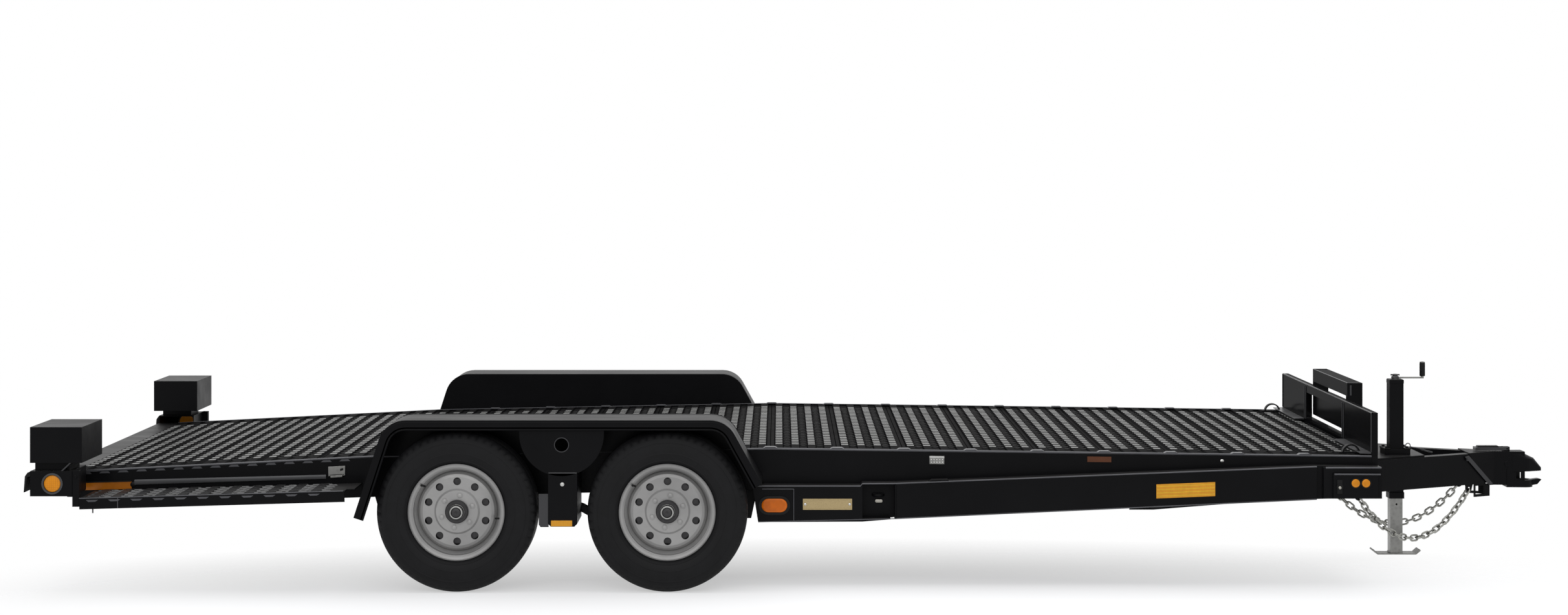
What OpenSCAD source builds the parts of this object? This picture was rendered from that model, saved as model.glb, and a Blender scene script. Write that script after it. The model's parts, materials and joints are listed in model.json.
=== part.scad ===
// Tandem axle car trailer with an arched tread plank deck, in millimetres.
// +X points to the coupler, +Y to the left side, +Z up, and the origin is on the ground below the middle.

/* [Overall] */
// Deck length, from the rear bumper to the front face of the headboard
deck_l = 5834; // [5600:10:6400]
// Deck width over the side rails
deck_w = 2040; // [1960:10:2080]
// Width over the two fenders
overall_w = 2580; // [2560:10:2640]
// Reach of the coupler nose ahead of the headboard
nose_reach = 1009; // [980:5:1100]
// Reach of the rear flaps behind the bumper
flap_reach = 30; // [20:1:60]

/* [Deck] */
// Height of the deck at its highest line
deck_peak_z = 593; // [570:1:640]
// Fall of the deck from its highest line to the headboard
front_fall = 34; // [20:1:60]
// Fall of the deck from its highest line to the tail kink
mid_fall = 33; // [20:1:60]
// Fall of the deck from the tail kink to the rear bumper
tail_fall = 73; // [50:1:80]
// Distance of the highest line behind the headboard
peak_back = 2664; // [2500:1:2900]
// Distance of the tail kink behind the headboard
tail_back = 4374; // [4250:1:4500]
// Depth of a deck plank
plank_h = 45; // [40:1:60]
// Nominal width of a deck plank
plank_w = 290; // [250:1:340]
// Sheet thickness of a deck plank
plank_t = 3; // [2:0.5:4]
// Gap between neighbouring planks
plank_gap = 3; // [3:0.5:6]
// Raised tread ribs on one plank
ribs = 4; // [3:1:5]
// Width of a tread rib at its top
rib_w = 34; // [26:1:40]
// Height of a tread rib
rib_h = 8; // [4:1:12]

/* [Frame] */
// Depth of the side rails at the deck's highest line
rail_d = 180; // [160:1:200]
// Depth of the side rails at the headboard
rail_front_d = 165; // [150:1:180]
// Depth of the side rails at the rear bumper
rail_rear_d = 155; // [140:1:180]
// Width of the side rail flanges
rail_w = 60; // [50:1:75]
// Web and flange thickness of the side rails
rail_t = 6; // [4:0.5:8]
// Depth of the crossmembers
cross_h = 50; // [40:1:60]
// Wall of the crossmember tubes
cross_t = 4; // [3:0.5:6]
// Reach of the lower side beams outside the rails
beam_w = 80; // [60:1:90]
// Sheet thickness of the side beams, boxes and housings
sheet = 4; // [3:0.5:6]
// Height of the bumper channel
bumper_h = 150; // [120:1:160]
// Length of the bumper channel along the trailer
bumper_l = 110; // [90:1:120]

/* [Headboard and winch stand] */
// Height of the headboard's top edge
headboard_z = 747; // [720:1:800]
// Thickness of the headboard frame
headboard_t = 28; // [24:1:40]
// Half width of the headboard's window
window_y = 410; // [380:1:440]
// Height of the winch stand's top
stand_z = 822; // [800:1:900]
// Half width of the winch stand
stand_y = 392; // [370:1:400]
// Depth of the winch stand along the trailer
stand_l = 71; // [60:1:90]
// Plate thickness of the winch stand
stand_t = 6; // [5:0.5:10]

/* [Tongue] */
// Height of the tongue beams' lower face
tongue_z = 315; // [300:1:330]
// Depth of the tongue beams
tongue_d = 146; // [130:1:150]
// Width of the tongue beams
tongue_w = 50; // [45:1:60]
// Wall of the tongue beams
tongue_t = 5; // [4:0.5:8]
// Angle of each tongue beam to the centre line
tongue_a = 28; // [26:0.5:30]
// Diameter of the ball socket
ball_d = 59.6; // [50:0.1:60]

/* [Jack] */
// Distance of the jack ahead of the headboard
jack_reach = 276; // [260:1:300]
// Offset of the jack to the right of the centre line
jack_side = 160; // [140:1:165]
// Outer width of the jack's square tube
jack_w = 65; // [60:1:70]
// Wall of the jack's square tube
jack_t = 3.5; // [3:0.5:5]
// Height of the jack tube's top
jack_top = 806; // [780:1:850]
// Height of the jack tube's lower end
jack_low = 263; // [240:1:290]
// Gap between the jack's leg and its tube
jack_gap = 0.5; // [0.3:0.1:1]

/* [Wheels] */
// Tyre diameter
tyre_d = 689; // [660:1:700]
// Tyre width
tyre_w = 205; // [185:1:210]
// Distance between the two axles
axle_gap = 906; // [860:1:960]
// Distance of the axles' middle behind the headboard
axle_back = 3559; // [3400:1:3700]
// Diameter of the rim at its flanges
rim_d = 416; // [400:1:420]
// Diameter of the rim's bead seats
bead_d = 381; // [375:1:385]
// Diameter of a hand hole in the rim disc
hand_hole_d = 33; // [28:1:36]
// Hand holes in one rim disc
hand_holes = 10; // [8:1:12]
// Diameter of the wheel spindles
spindle_d = 34; // [30:1:38]
// Radial running clearance on the spindles and pins
spindle_gap = 0.08; // [0.04:0.01:0.1]
// Diameter of the axle tubes
axle_d = 76; // [70:1:80]
// Wall of the axle tubes
axle_t = 6; // [4:0.5:8]

/* [Fenders] */
// Height of the fender's flat top
fender_z = 742; // [730:1:800]
// Radius of the fender's bends
fender_r = 120; // [90:1:140]
// Depth of the fender's outer lip
fender_lip = 36; // [25:1:45]
// Lean of the fender's rear leg from upright
fender_rear_a = 18; // [12:1:24]
// Lean of the fender's front leg from upright
fender_front_a = 29; // [22:1:34]
// Height of the fender's rear leg end
fender_rear_z = 325; // [300:1:360]
// Height of the fender's front leg end
fender_front_z = 469; // [450:1:500]

/* [Chains] */
// Wire diameter of a safety chain link
wire_d = 9; // [7:0.5:10]
// Spacing of neighbouring links along a safety chain
link_pitch = 35; // [34:0.5:37]
// Links in one safety chain
links = 23; // [21:2:25]

/* [Hidden] */
$fn = 48;

// Small standing gap between pieces that seat on each other
seat = 0.3;
// Extra length of a cutting body past the face that it cuts
over = 1;

// Stations along the trailer: x of a point that lies a given distance behind the headboard's front face
overall_l = flap_reach + deck_l + nose_reach;
deck_x0 = flap_reach - overall_l / 2;
deck_x1 = deck_x0 + deck_l;
nose_x = deck_x1 + nose_reach;
function back(d) = deck_x1 - d;

// Line of the deck, as points from the bumper to the headboard
peak_x = back(peak_back);
tail_x = back(tail_back);
rail_x0 = deck_x0 + bumper_l;
rail_x1 = deck_x1 - headboard_t - seat;
tail_z = deck_peak_z - mid_fall;
deck_line = [
    [deck_x0, tail_z - tail_fall], [tail_x, tail_z], [peak_x, deck_peak_z], [deck_x1, deck_peak_z - front_fall]
];
rail_depths = [[deck_x0, rail_rear_d], [tail_x, rail_d], [peak_x, rail_d], [deck_x1, rail_front_d]];
function deck_z(x) = lookup(x, deck_line);
function rail_depth(x) = lookup(x, rail_depths);

rail_y = deck_w / 2;
beam_y = rail_y + beam_w;
side_y = overall_w / 2;

// An outline in the X and Z plane, extruded between two values of Y
module xz(points, y0, y1) {
    translate([0, y1, 0]) rotate([90, 0, 0]) linear_extrude(y1 - y0) polygon(points);
}

// A box from its lowest corner to its highest corner
module block(a, b) {
    translate(a) cube(b - a);
}

// The child and its mirror image on the other side of the trailer
module both_sides() {
    children();
    mirror([0, 1, 0]) children();
}

module left_side() {
    mirror([0, 1, 0]) children();
}

// A rod of diameter d and length l along Y, centred on a point
module rod_y(p, d, l) {
    translate(p) rotate([90, 0, 0]) cylinder(d = d, h = l, center = true);
}

// Side rails, each a channel with a shelf for the planks

// The stations at which the deck line bends, between two given ones
function bends(x0, x1) = concat([x0], [for (p = deck_line) if (p[0] > x0 && p[0] < x1) p[0]], [x1]);
// A strip that follows the deck line, between a depth a and either a depth b or a distance c above the rail's foot
function strip_top(xs, a) = [for (x = xs) [x, deck_z(x) - a]];
function strip_foot(xs, c) = [for (i = [len(xs) - 1:-1:0]) [xs[i], deck_z(xs[i]) - rail_depth(xs[i]) + c]];
function strip_at(xs, b) = [for (i = [len(xs) - 1:-1:0]) [xs[i], deck_z(xs[i]) - b]];

shelf_d = plank_h + seat;

module deck_rail() {
    xs = bends(rail_x0, rail_x1);
    cuts = bends(rail_x0 - over, rail_x1 + over);
    inner = rail_y - rail_w;
    difference() {
        xz(concat(strip_top(xs, 0), strip_foot(xs, 0)), -rail_y, -inner);
        xz(concat(strip_top(cuts, -over), strip_at(cuts, shelf_d)), -rail_y + rail_t, -inner + over);
        xz(concat(strip_top(cuts, shelf_d + rail_t), strip_foot(cuts, rail_t)), -rail_y + rail_t, -inner + over);
    }
}

module deck_rails() color([0.08, 0.08, 0.09]) both_sides() deck_rail();

// Deck planks, each a folded channel with hollow tread ribs

plank_y = rail_y - rail_t - seat;

// One rib's outline, from left to right, with its top at z
function rib_points(x, z, w) = [[x - w / 2 - 4, z - rib_h], [x - w / 2, z], [x + w / 2, z], [x + w / 2 + 4, z - rib_h]];
function plank_outline(l) = let (
    xs = [for (i = [0:ribs - 1]) l * (i + 0.5) / ribs],
    top = [for (x = xs) each rib_points(x, 0, rib_w)],
    under = [for (i = [ribs - 1:-1:0]) each rib_under(xs[i])]
) concat(
    [[0, -plank_h], [0, -rib_h]], top, [[l, -rib_h], [l, -plank_h], [l - plank_t, -plank_h], [l - plank_t, -rib_h - plank_t]],
    under, [[plank_t, -rib_h - plank_t], [plank_t, -plank_h]]
);
function rib_under(x) = let (p = rib_points(x, -plank_t, rib_w - 3)) [p[3], p[2], p[1], p[0]];

function run_length(a, b) = norm(b - a);
function run_count(a, b) = round(run_length(a, b) / plank_w);
function run_angle(a, b) = atan2(b[1] - a[1], b[0] - a[0]);

// Places its child at a joint of the run of planks from a to b
module on_run(a, b, i) {
    translate([a[0], 0, a[1]]) rotate([0, -run_angle(a, b), 0])
        translate([i * run_length(a, b) / run_count(a, b), 0, 0]) children();
}

module plank_run(a, b) {
    l = run_length(a, b) / run_count(a, b) - plank_gap;
    for (i = [0:run_count(a, b) - 1])
        on_run(a, b, i) translate([plank_gap / 2, 0, 0]) xz(plank_outline(l), -plank_y, plank_y);
}

front_run = [[peak_x, deck_peak_z], [rail_x1, deck_z(rail_x1)]];
middle_run = [[tail_x, tail_z], [peak_x, deck_peak_z]];
tail_run = [[rail_x0, deck_z(rail_x0)], [tail_x, tail_z]];

module deck_planks_front() color([0.16, 0.16, 0.17]) plank_run(front_run[0], front_run[1]);
module deck_planks_middle() color([0.16, 0.16, 0.17]) plank_run(middle_run[0], middle_run[1]);
module deck_planks_tail() color([0.16, 0.16, 0.17]) plank_run(tail_run[0], tail_run[1]);

// Crossmembers, square tubes below every second plank joint

cross_y = rail_y - rail_w - seat;

module cross_run(run) {
    for (i = [1:2:run_count(run[0], run[1]) - 1])
        on_run(run[0], run[1], i) translate([-cross_h / 2, 0, -shelf_d - cross_h]) difference() {
            block([0, -cross_y, 0], [cross_h, cross_y, cross_h]);
            block([cross_t, -cross_y - over, cross_t], [cross_h - cross_t, cross_y + over, cross_h - cross_t]);
        }
}

module crossmembers() color([0.08, 0.08, 0.09]) {
    cross_run(front_run);
    cross_run(middle_run);
    cross_run(tail_run);
}

// Louvred side ledges behind the fenders

ledge_x0 = deck_x0 + 210;
ledge_x1 = back(4454);
ledge_z0 = 408;
ledge_z1 = 441;
ledge_d = 47;
ledge_rib = 95;
ledge_rise = 4;

module side_ledge() {
    slope = atan2(ledge_z1 - ledge_z0, ledge_x1 - ledge_x0);
    l = norm([ledge_x1 - ledge_x0, ledge_z1 - ledge_z0]);
    n = floor((l - 40) / ledge_rib);
    tread = [for (i = [0:n - 1]) each [
        [20 + (i + 0.18) * ledge_rib, 0], [20 + (i + 0.22) * ledge_rib, ledge_rise],
        [20 + (i + 0.62) * ledge_rib, ledge_rise], [20 + (i + 0.66) * ledge_rib, 0]
    ]];
    translate([ledge_x0, 0, ledge_z0]) rotate([0, -slope, 0]) difference() {
        union() {
            xz(concat([[0, 0]], tread, [[l, 0], [l, -sheet], [0, -sheet]]), -side_y + sheet, -rail_y - seat);
            xz([[0, 0], [l - 30, 0], [l, -30], [l, -ledge_d], [0, -ledge_d]], -side_y, -side_y + sheet);
            xz([[0, 0], [sheet, 0], [sheet, -ledge_d], [0, -ledge_d]], -side_y + sheet / 2, -rail_y - seat);
            xz([[0, -sheet], [l, -sheet], [l, -ledge_d], [0, -ledge_d]], -rail_y - seat - sheet, -rail_y - seat);
        }
        block([l - 34, -side_y - over, -ledge_d], [l + over, -side_y + 60, ledge_rise + over]);
    }
}

module side_ledges() color([0.1, 0.1, 0.11]) both_sides() side_ledge();

// Lower side beams ahead of the wheels, folded sheet that rises to the front

beam_x0 = back(2114);
beam_x1 = back(284);
beam_low0 = 294;
beam_low1 = 378;
beam_top0 = 449;
beam_top1 = 522;
corner_x0 = back(254);
corner_low = 385;
corner_top = 518;
corner_proud = 12;
function beam_slope() = (beam_top1 - beam_top0) / (beam_x1 - beam_x0);

module side_beam() {
    y0 = -beam_y;
    y1 = -rail_y - seat;
    low = (beam_low1 - beam_low0) / (beam_x1 - beam_x0);
    difference() {
        union() {
            xz([[beam_x0, beam_low0], [beam_x0, beam_top0], [beam_x1, beam_top1], [beam_x1, beam_low1]], y0, y1);
            xz([
                [beam_x1 - over, beam_low1], [beam_x1 - over, beam_top1], [deck_x1, corner_top], [deck_x1, corner_low]
            ], y0 + 20, y1);
            xz([
                [corner_x0, corner_low - 3], [corner_x0, corner_top], [deck_x1, corner_top], [deck_x1, corner_low - 3]
            ], y0, y1);
            xz([
                [corner_x0 + 40, corner_low], [corner_x0 + 40, corner_top - 24], [corner_x0 + 44, corner_top - 29],
                [deck_x1 - 20, corner_top - 29], [deck_x1 - 20, corner_low]
            ], y0 - corner_proud, y0 + sheet);
        }
        xz([
            [beam_x0 + sheet, beam_low0 + low * sheet + sheet],
            [beam_x0 + sheet, beam_top0 + beam_slope() * sheet - sheet],
            [beam_x1 - sheet, beam_top1 - beam_slope() * sheet - sheet],
            [beam_x1 - sheet, beam_low1 - low * sheet + sheet]
        ], y0 + sheet, y1 + over);
        block([corner_x0 + sheet, y0 + sheet, corner_low + sheet], [deck_x1 - sheet, y1 + over, corner_top - sheet]);
    }
}

module side_beams() color([0.08, 0.08, 0.09]) both_sides() side_beam();

// Side lamp boxes with a recess for a tie down hook

lamp_box_x0 = back(2742);
lamp_box_x1 = beam_x0 - seat;
lamp_box_low = 280;
lamp_box_top = 438;
pocket_x0 = back(2263);
pocket_d = 58;
pocket_low = lamp_box_low + 12;
hook_bar_d = 14;
hook_z = 392;

module side_lamp_box() {
    y0 = -beam_y;
    y1 = -rail_y - seat;
    difference() {
        xz([
            [lamp_box_x0 + 25, lamp_box_low], [lamp_box_x0, lamp_box_top], [pocket_x0 - 8, lamp_box_top],
            [pocket_x0, beam_top0], [lamp_box_x1, beam_top0], [lamp_box_x1, beam_low0], [pocket_x0, lamp_box_low + 2]
        ], y0, y1);
        xz([
            [lamp_box_x0 + 25 + sheet, lamp_box_low + sheet], [lamp_box_x0 + sheet * 1.5, lamp_box_top - sheet],
            [pocket_x0 - sheet, lamp_box_top - sheet], [pocket_x0 - sheet, lamp_box_low + sheet]
        ], y0 + sheet, y1 + over);
        block([pocket_x0, y0 - over, pocket_low], [lamp_box_x1 - sheet * 2, y0 + pocket_d, beam_top0 - sheet]);
    }
}

// Bent bar across each recess that a strap hooks on
module pocket_hook() {
    x = (pocket_x0 + lamp_box_x1 - sheet * 2) / 2;
    translate([x, -beam_y + pocket_d, hook_z]) rotate([0, 0, 180])
        rotate_extrude(angle = 180) translate([22, 0]) circle(d = hook_bar_d);
}

module side_lamp_boxes() color([0.08, 0.08, 0.09]) both_sides() side_lamp_box();

// Tongue beams, two tubes from the side rails to the coupler

tongue_top = tongue_z + tongue_d;
// Point on the centre line where the middles of the two beams would meet
tongue_tip = deck_x1 + 776;
tongue_end = deck_x1 + 726;

module tongue_tube(w, d, cut) {
    l = (rail_y + 100) / sin(tongue_a);
    translate([tongue_tip, 0, tongue_z + tongue_d / 2 - d / 2]) rotate([0, 0, tongue_a])
        translate([-l, -w / 2, 0]) cube([l + cut, w, d]);
}

module tongue_beam() {
    intersection() {
        difference() {
            tongue_tube(tongue_w, tongue_d, 0);
            tongue_tube(tongue_w - 2 * tongue_t, tongue_d - 2 * tongue_t, over);
        }
        block([peak_x, -rail_y + rail_w + seat, 0], [tongue_end, -seat, tongue_top + over]);
    }
}

module tongue_beam_right() color([0.08, 0.08, 0.09]) tongue_beam();
module tongue_beam_left() color([0.08, 0.08, 0.09]) left_side() tongue_beam();

// Front crossmember, a deep channel across the frame with notches over the tongue beams

front_low = corner_low;
front_top = deck_peak_z - front_fall - 3;
function tongue_mid(x) = (tongue_tip - x) * tan(tongue_a);

module front_crossmember() color([0.08, 0.08, 0.09]) difference() {
    block([deck_x1 - headboard_t, -rail_y, front_low], [deck_x1, rail_y, front_top]);
    block(
        [deck_x1 - headboard_t - over, -rail_y + rail_t, front_low + rail_t],
        [deck_x1 - rail_t, rail_y - rail_t, front_top - rail_t]
    );
    both_sides() block(
        [deck_x1 - headboard_t - over, -tongue_mid(deck_x1 - headboard_t) - tongue_w / 2 - 8, front_low - over],
        [deck_x1 + over, -tongue_mid(deck_x1) + tongue_w / 2 + 8, tongue_top + seat]
    );
}

// Headboard with a wide window

window_low = 585;
window_top = 706;
post_w = 40;

module headboard() color([0.1, 0.1, 0.11]) difference() {
    block([deck_x1 - headboard_t, -rail_y, front_top + seat], [deck_x1, rail_y, headboard_z]);
    block([deck_x1 - headboard_t - over, -window_y, window_low], [deck_x1 + over, window_y, window_top]);
    both_sides() block(
        [deck_x1 - headboard_t + sheet, -rail_y + post_w, window_low], [deck_x1 + over, -window_y - post_w, window_top]
    );
}

// Winch stand, a bent plate portal with a mounting plate between its legs

stand_x0 = deck_x1 + seat;
stand_rail = 60;
stand_low = 600;

module winch_stand() color([0.1, 0.1, 0.11]) difference() {
    block([stand_x0, -stand_y, stand_low], [stand_x0 + stand_l, stand_y, stand_z]);
    block([stand_x0 + stand_t, -stand_y + 27, stand_low - over], [stand_x0 + stand_l + over, stand_y - 27, stand_z - stand_t]);
    block([stand_x0 - over, -stand_y + 27, headboard_z - 30], [stand_x0 + stand_l, stand_y - 27, stand_z - stand_rail]);
    both_sides() block(
        [stand_x0 + stand_t, -stand_y + stand_t, stand_low - over],
        [stand_x0 + stand_l + over, -stand_y + 27 - stand_t, stand_z - stand_t]
    );
}

// Tongue plate that ties the beams and carries the jack

jack_x = deck_x1 + jack_reach;
plate_t = 8;

module tongue_plate() color([0.1, 0.1, 0.11]) {
    x0 = deck_x1 + 30;
    x1 = deck_x1 + 400;
    difference() {
        translate([0, 0, tongue_top + seat]) linear_extrude(plate_t) polygon([
            [x0, -tongue_mid(x0) - 20], [x1, -tongue_mid(x1) - 20], [x1, tongue_mid(x1) + 20], [x0, tongue_mid(x0) + 20]
        ]);
        block(
            [jack_x - jack_w / 2 - seat, -jack_side - jack_w / 2 - seat, tongue_z],
            [jack_x + jack_w / 2 + seat, -jack_side + jack_w / 2 + seat, tongue_top + plate_t + over]
        );
    }
    difference() {
        translate([jack_x - 60, -jack_side - 50, tongue_top + seat + plate_t]) cube([120, 100, 26]);
        block(
            [jack_x - jack_w / 2 - seat, -jack_side - jack_w / 2 - seat, tongue_z],
            [jack_x + jack_w / 2 + seat, -jack_side + jack_w / 2 + seat, tongue_top + 80]
        );
    }
}

// Jack: square tube, sliding leg with its foot, and a top crank

leg_w = jack_w - 2 * jack_t - 2 * jack_gap;
leg_t = 4;
leg_top = 500;
foot_l = 225;
foot_w = 76;
foot_t = 6;
foot_rise = 18;
crank_pin_d = 20;
crank_hole = crank_pin_d + 2 * spindle_gap;
cap_h = 14;

module square_tube(w, t, z0, z1) {
    difference() {
        block([-w / 2, -w / 2, z0], [w / 2, w / 2, z1]);
        block([-w / 2 + t, -w / 2 + t, z0 - over], [w / 2 - t, w / 2 - t, z1 + over]);
    }
}

module at_jack() {
    translate([jack_x, -jack_side, 0]) children();
}

module jack_tube() color([0.1, 0.1, 0.11]) at_jack() {
    square_tube(jack_w, jack_t, jack_low, jack_top);
    difference() {
        block([-jack_w / 2, -jack_w / 2, jack_top], [jack_w / 2, jack_w / 2, jack_top + cap_h]);
        translate([0, 0, jack_top - over]) cylinder(d = crank_hole, h = cap_h + 2 * over);
    }
}

module jack_leg() color([0.75, 0.76, 0.77]) at_jack() {
    difference() {
        square_tube(leg_w, leg_t, foot_t - over / 2, leg_top);
        rod_y([0, 0, 235], 9, jack_w * 2);
    }
    xz([
        [-foot_l / 2, foot_rise], [-foot_l / 2 + 22, 0], [foot_l / 2 - 22, 0], [foot_l / 2, foot_rise],
        [foot_l / 2 - 4, foot_rise + foot_t], [foot_l / 2 - 24, foot_t], [-foot_l / 2 + 24, foot_t],
        [-foot_l / 2 + 4, foot_rise + foot_t]
    ], -foot_w / 2, foot_w / 2);
}

crank_z = jack_top + cap_h;
crank_reach = 128;
grip_h = 78;

module jack_crank() color([0.6, 0.6, 0.62]) at_jack() {
    translate([0, 0, jack_top - 20]) cylinder(d = crank_pin_d, h = cap_h + 20 + 4);
    translate([0, 0, crank_z + seat]) cylinder(d = 34, h = 12);
    translate([0, -7, crank_z + 4]) cube([crank_reach, 14, 7]);
    translate([crank_reach, 0, crank_z + 4]) {
        cylinder(d = 14, h = grip_h);
        translate([0, 0, 12]) cylinder(d = 24, h = grip_h - 12);
    }
}

// Coupler

ball_x = nose_x - 88;
ball_z = 372;
head_r = 50;
jaw_low = 296;
skirt_x0 = deck_x1 + 640;
neck_x = ball_x - 85;

// Outline of the sheet that wraps the tips of the two beams, d outside their outer faces
function wrap_y(x, d) = tongue_mid(x) + (tongue_w / 2 + d) / cos(tongue_a);

module coupler_shell(d, z0, z1) {
    translate([0, 0, z0]) linear_extrude(z1 - z0) polygon([
        [skirt_x0, -wrap_y(skirt_x0, d)], [tongue_tip, -wrap_y(tongue_tip, d)], [ball_x, -head_r + 8],
        [ball_x, head_r - 8], [tongue_tip, wrap_y(tongue_tip, d)], [skirt_x0, wrap_y(skirt_x0, d)]
    ]);
}

// Latch pin, in a lug on the coupler's top
latch_h = 14;
latch_x = ball_x - 80;
latch_z = tongue_top + seat + sheet + 5 + latch_h / 2;
latch_l = 150;
latch_slot = 40;
latch_wall = 6;
latch_pin_d = 8;

module coupler_body() color([0.09, 0.09, 0.1]) difference() {
    union() {
        difference() {
            coupler_shell(seat + sheet, tongue_z - 8, tongue_top + seat + sheet);
            coupler_shell(seat, tongue_z - 8 - over, tongue_top + seat);
            xz([
                [skirt_x0 - over, tongue_top - 3], [skirt_x0 - over, tongue_z - 20], [skirt_x0 + 120, tongue_z - 20]
            ], -rail_y, rail_y);
        }
        hull() {
            translate([ball_x, 0, ball_z]) cylinder(r = head_r, h = 60, $fn = 32);
            translate([nose_x - 22, 0, ball_z]) cylinder(r = 22, h = 14, $fn = 32);
            translate([ball_x - 40, 0, ball_z]) cylinder(r = head_r - 6, h = 82, $fn = 32);
        }
        hull() {
            translate([ball_x, 0, jaw_low]) cylinder(r = head_r - 4, h = 34, $fn = 32);
            translate([neck_x, -40, jaw_low]) cube([20, 80, 34]);
        }
        translate([neck_x, -40, jaw_low + 10]) cube([36, 80, ball_z - jaw_low]);
        block([latch_x - 14, -latch_slot / 2 + seat, tongue_top + 2], [latch_x + 14, latch_slot / 2 - seat, latch_z + 8]);
        rod_y([latch_x, 0, latch_z], latch_pin_d, latch_slot + 2 * latch_wall);
    }
    block([ball_x - 40, -rail_y, ball_z - 36], [ball_x - 20, rail_y, ball_z - 4]);
    translate([ball_x, 0, jaw_low - over]) cylinder(d = ball_d, h = ball_z - jaw_low + over);
    translate([ball_x, 0, ball_z]) sphere(d = ball_d);
}

module coupler_latch() color([0.55, 0.55, 0.57]) difference() {
    union() {
        for (s = [-1, 1]) translate([0, s * (latch_slot + latch_wall) / 2, 0]) {
            block(
                [latch_x - latch_l, -latch_wall / 2, latch_z - latch_h / 2],
                [latch_x, latch_wall / 2, latch_z + latch_h / 2]
            );
            rod_y([latch_x, 0, latch_z], latch_h, latch_wall);
        }
        block(
            [latch_x - latch_l, -latch_slot / 2 - latch_wall, latch_z - latch_h / 2],
            [latch_x - latch_l + 14, latch_slot / 2 + latch_wall, latch_z + latch_h / 2]
        );
    }
    rod_y([latch_x, 0, latch_z], latch_pin_d + 2 * spindle_gap, 2 * latch_slot);
}

// Safety chains, hung in the upright plane below each tongue beam's outer edge

// Places its child in the frame of the right tongue beam, whose +X runs to the tip
module on_tongue() {
    translate([tongue_tip, 0, 0]) rotate([0, 0, tongue_a]) children();
}

chain_y = 6 - tongue_w / 2;
chain_a = [-830, 292];
chain_run = 662;
link_inner = 16;
lug_t = 6;
lug_hole = 16;
lug_rim = 8;

// Sag that takes up the chain's length between its two ends
slack = links * link_pitch / chain_run - 1;
chain_sag = chain_run * sqrt(3 / 8 * slack * (1 + 0.9 * slack));
function chain_point(t) = chain_a + [chain_run * t, -4 * chain_sag * t * (1 - t)];
function chain_speed(t) = norm([chain_run, 4 * chain_sag * (1 - 2 * t)]);
// Step of t whose chord is p long: a parabola's chord is parallel to its tangent at the middle
function chain_step(t, p, k, n = 8) = n == 0 ? k : chain_step(t, p, p / chain_speed(t + k / 2), n - 1);
function chain_ts(n) = [for (i = 0, t = 0; i <= n; i = i + 1, t = t + chain_step(t, link_pitch, 0)) t];
chain_t = chain_ts(links);
chain_p = [for (t = chain_t) chain_point(t)];
function unit(v) = v / norm(v);
// Centres of the lug holes, so that the end links lie against the holes' edges
link_back = (wire_d + 0.3) / 2 + lug_hole / 2 - wire_d / 2 - seat;
hole_a = chain_p[0] - unit(chain_p[1] - chain_p[0]) * link_back;
hole_b = chain_p[links] + unit(chain_p[links] - chain_p[links - 1]) * link_back;

module lug_pair(hole, w) {
    difference() {
        union() {
            rod_y([hole[0], chain_y, hole[1]], lug_hole + 2 * lug_rim, lug_t);
            xz([
                [hole[0] - w / 2, tongue_z - seat], [hole[0] - lug_hole / 2 - lug_rim, hole[1]],
                [hole[0] + lug_hole / 2 + lug_rim, hole[1]], [hole[0] + w / 2, tongue_z - seat]
            ], chain_y - lug_t / 2, chain_y + lug_t / 2);
        }
        rod_y([hole[0], chain_y, hole[1]], lug_hole, 2 * lug_t);
    }
}

// Eye lugs at both ends of each chain, with a guard strip ahead of the front one
module chain_lugs() color([0.09, 0.09, 0.1]) both_sides() on_tongue() {
    lug_pair(hole_a, 44);
    lug_pair(hole_b, 44);
    x = hole_b[0] + lug_hole / 2 + 24;
    difference() {
        xz([
            [x, tongue_z - seat], [x, tongue_z - 60], [x + 96, tongue_z - 60], [x + 96, tongue_z - seat]
        ], chain_y - lug_t / 2, chain_y + lug_t / 2);
        xz([
            [x + 8, tongue_z - 8], [x + 8, tongue_z - 48], [x + 62, tongue_z - 48], [x + 62, tongue_z - 8]
        ], chain_y - lug_t, chain_y + lug_t);
    }
}

// One link in the X and Y plane, whose ends lie link_pitch apart inside
module chain_link() {
    span = link_pitch + 0.3 - link_inner;
    r = (link_inner + wire_d) / 2;
    for (s = [-1, 1]) {
        translate([s * span / 2, 0, 0]) rotate([0, 0, -90 * s]) rotate_extrude(angle = 180, $fn = 24)
            translate([r, 0]) circle(d = wire_d, $fn = 16);
        translate([0, s * r, 0]) rotate([0, 90, 0]) cylinder(d = wire_d, h = span, center = true, $fn = 16);
    }
}

module safety_chains() color([0.75, 0.76, 0.74]) both_sides() on_tongue() for (i = [0:links - 1]) {
    p = chain_p[i];
    q = chain_p[i + 1];
    translate([(p[0] + q[0]) / 2, chain_y, (p[1] + q[1]) / 2]) rotate([0, -atan2(q[1] - p[1], q[0] - p[0]), 0])
        rotate([90 * (i % 2), 0, 0]) chain_link();
}

// Fenders: a bent sheet over both wheels with a lip along its outer edge

axle_x = back(axle_back);
fender_x0 = axle_x - 890;
fender_x1 = axle_x + 860;
fender_y = side_y;

// Corner points of the two bends and their centres
function rear_corner() = fender_x0 + (fender_z - fender_rear_z) * tan(fender_rear_a);
function front_corner() = fender_x1 - (fender_z - fender_front_z) * tan(fender_front_a);
function bend_run(a) = fender_r * tan((90 - a) / 2);
function fender_arc(cx, from, to, r) = [
    for (i = [0:6]) let (a = from + (to - from) * i / 6) [cx + r * cos(a), fender_z - fender_r + r * sin(a)]
];
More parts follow.
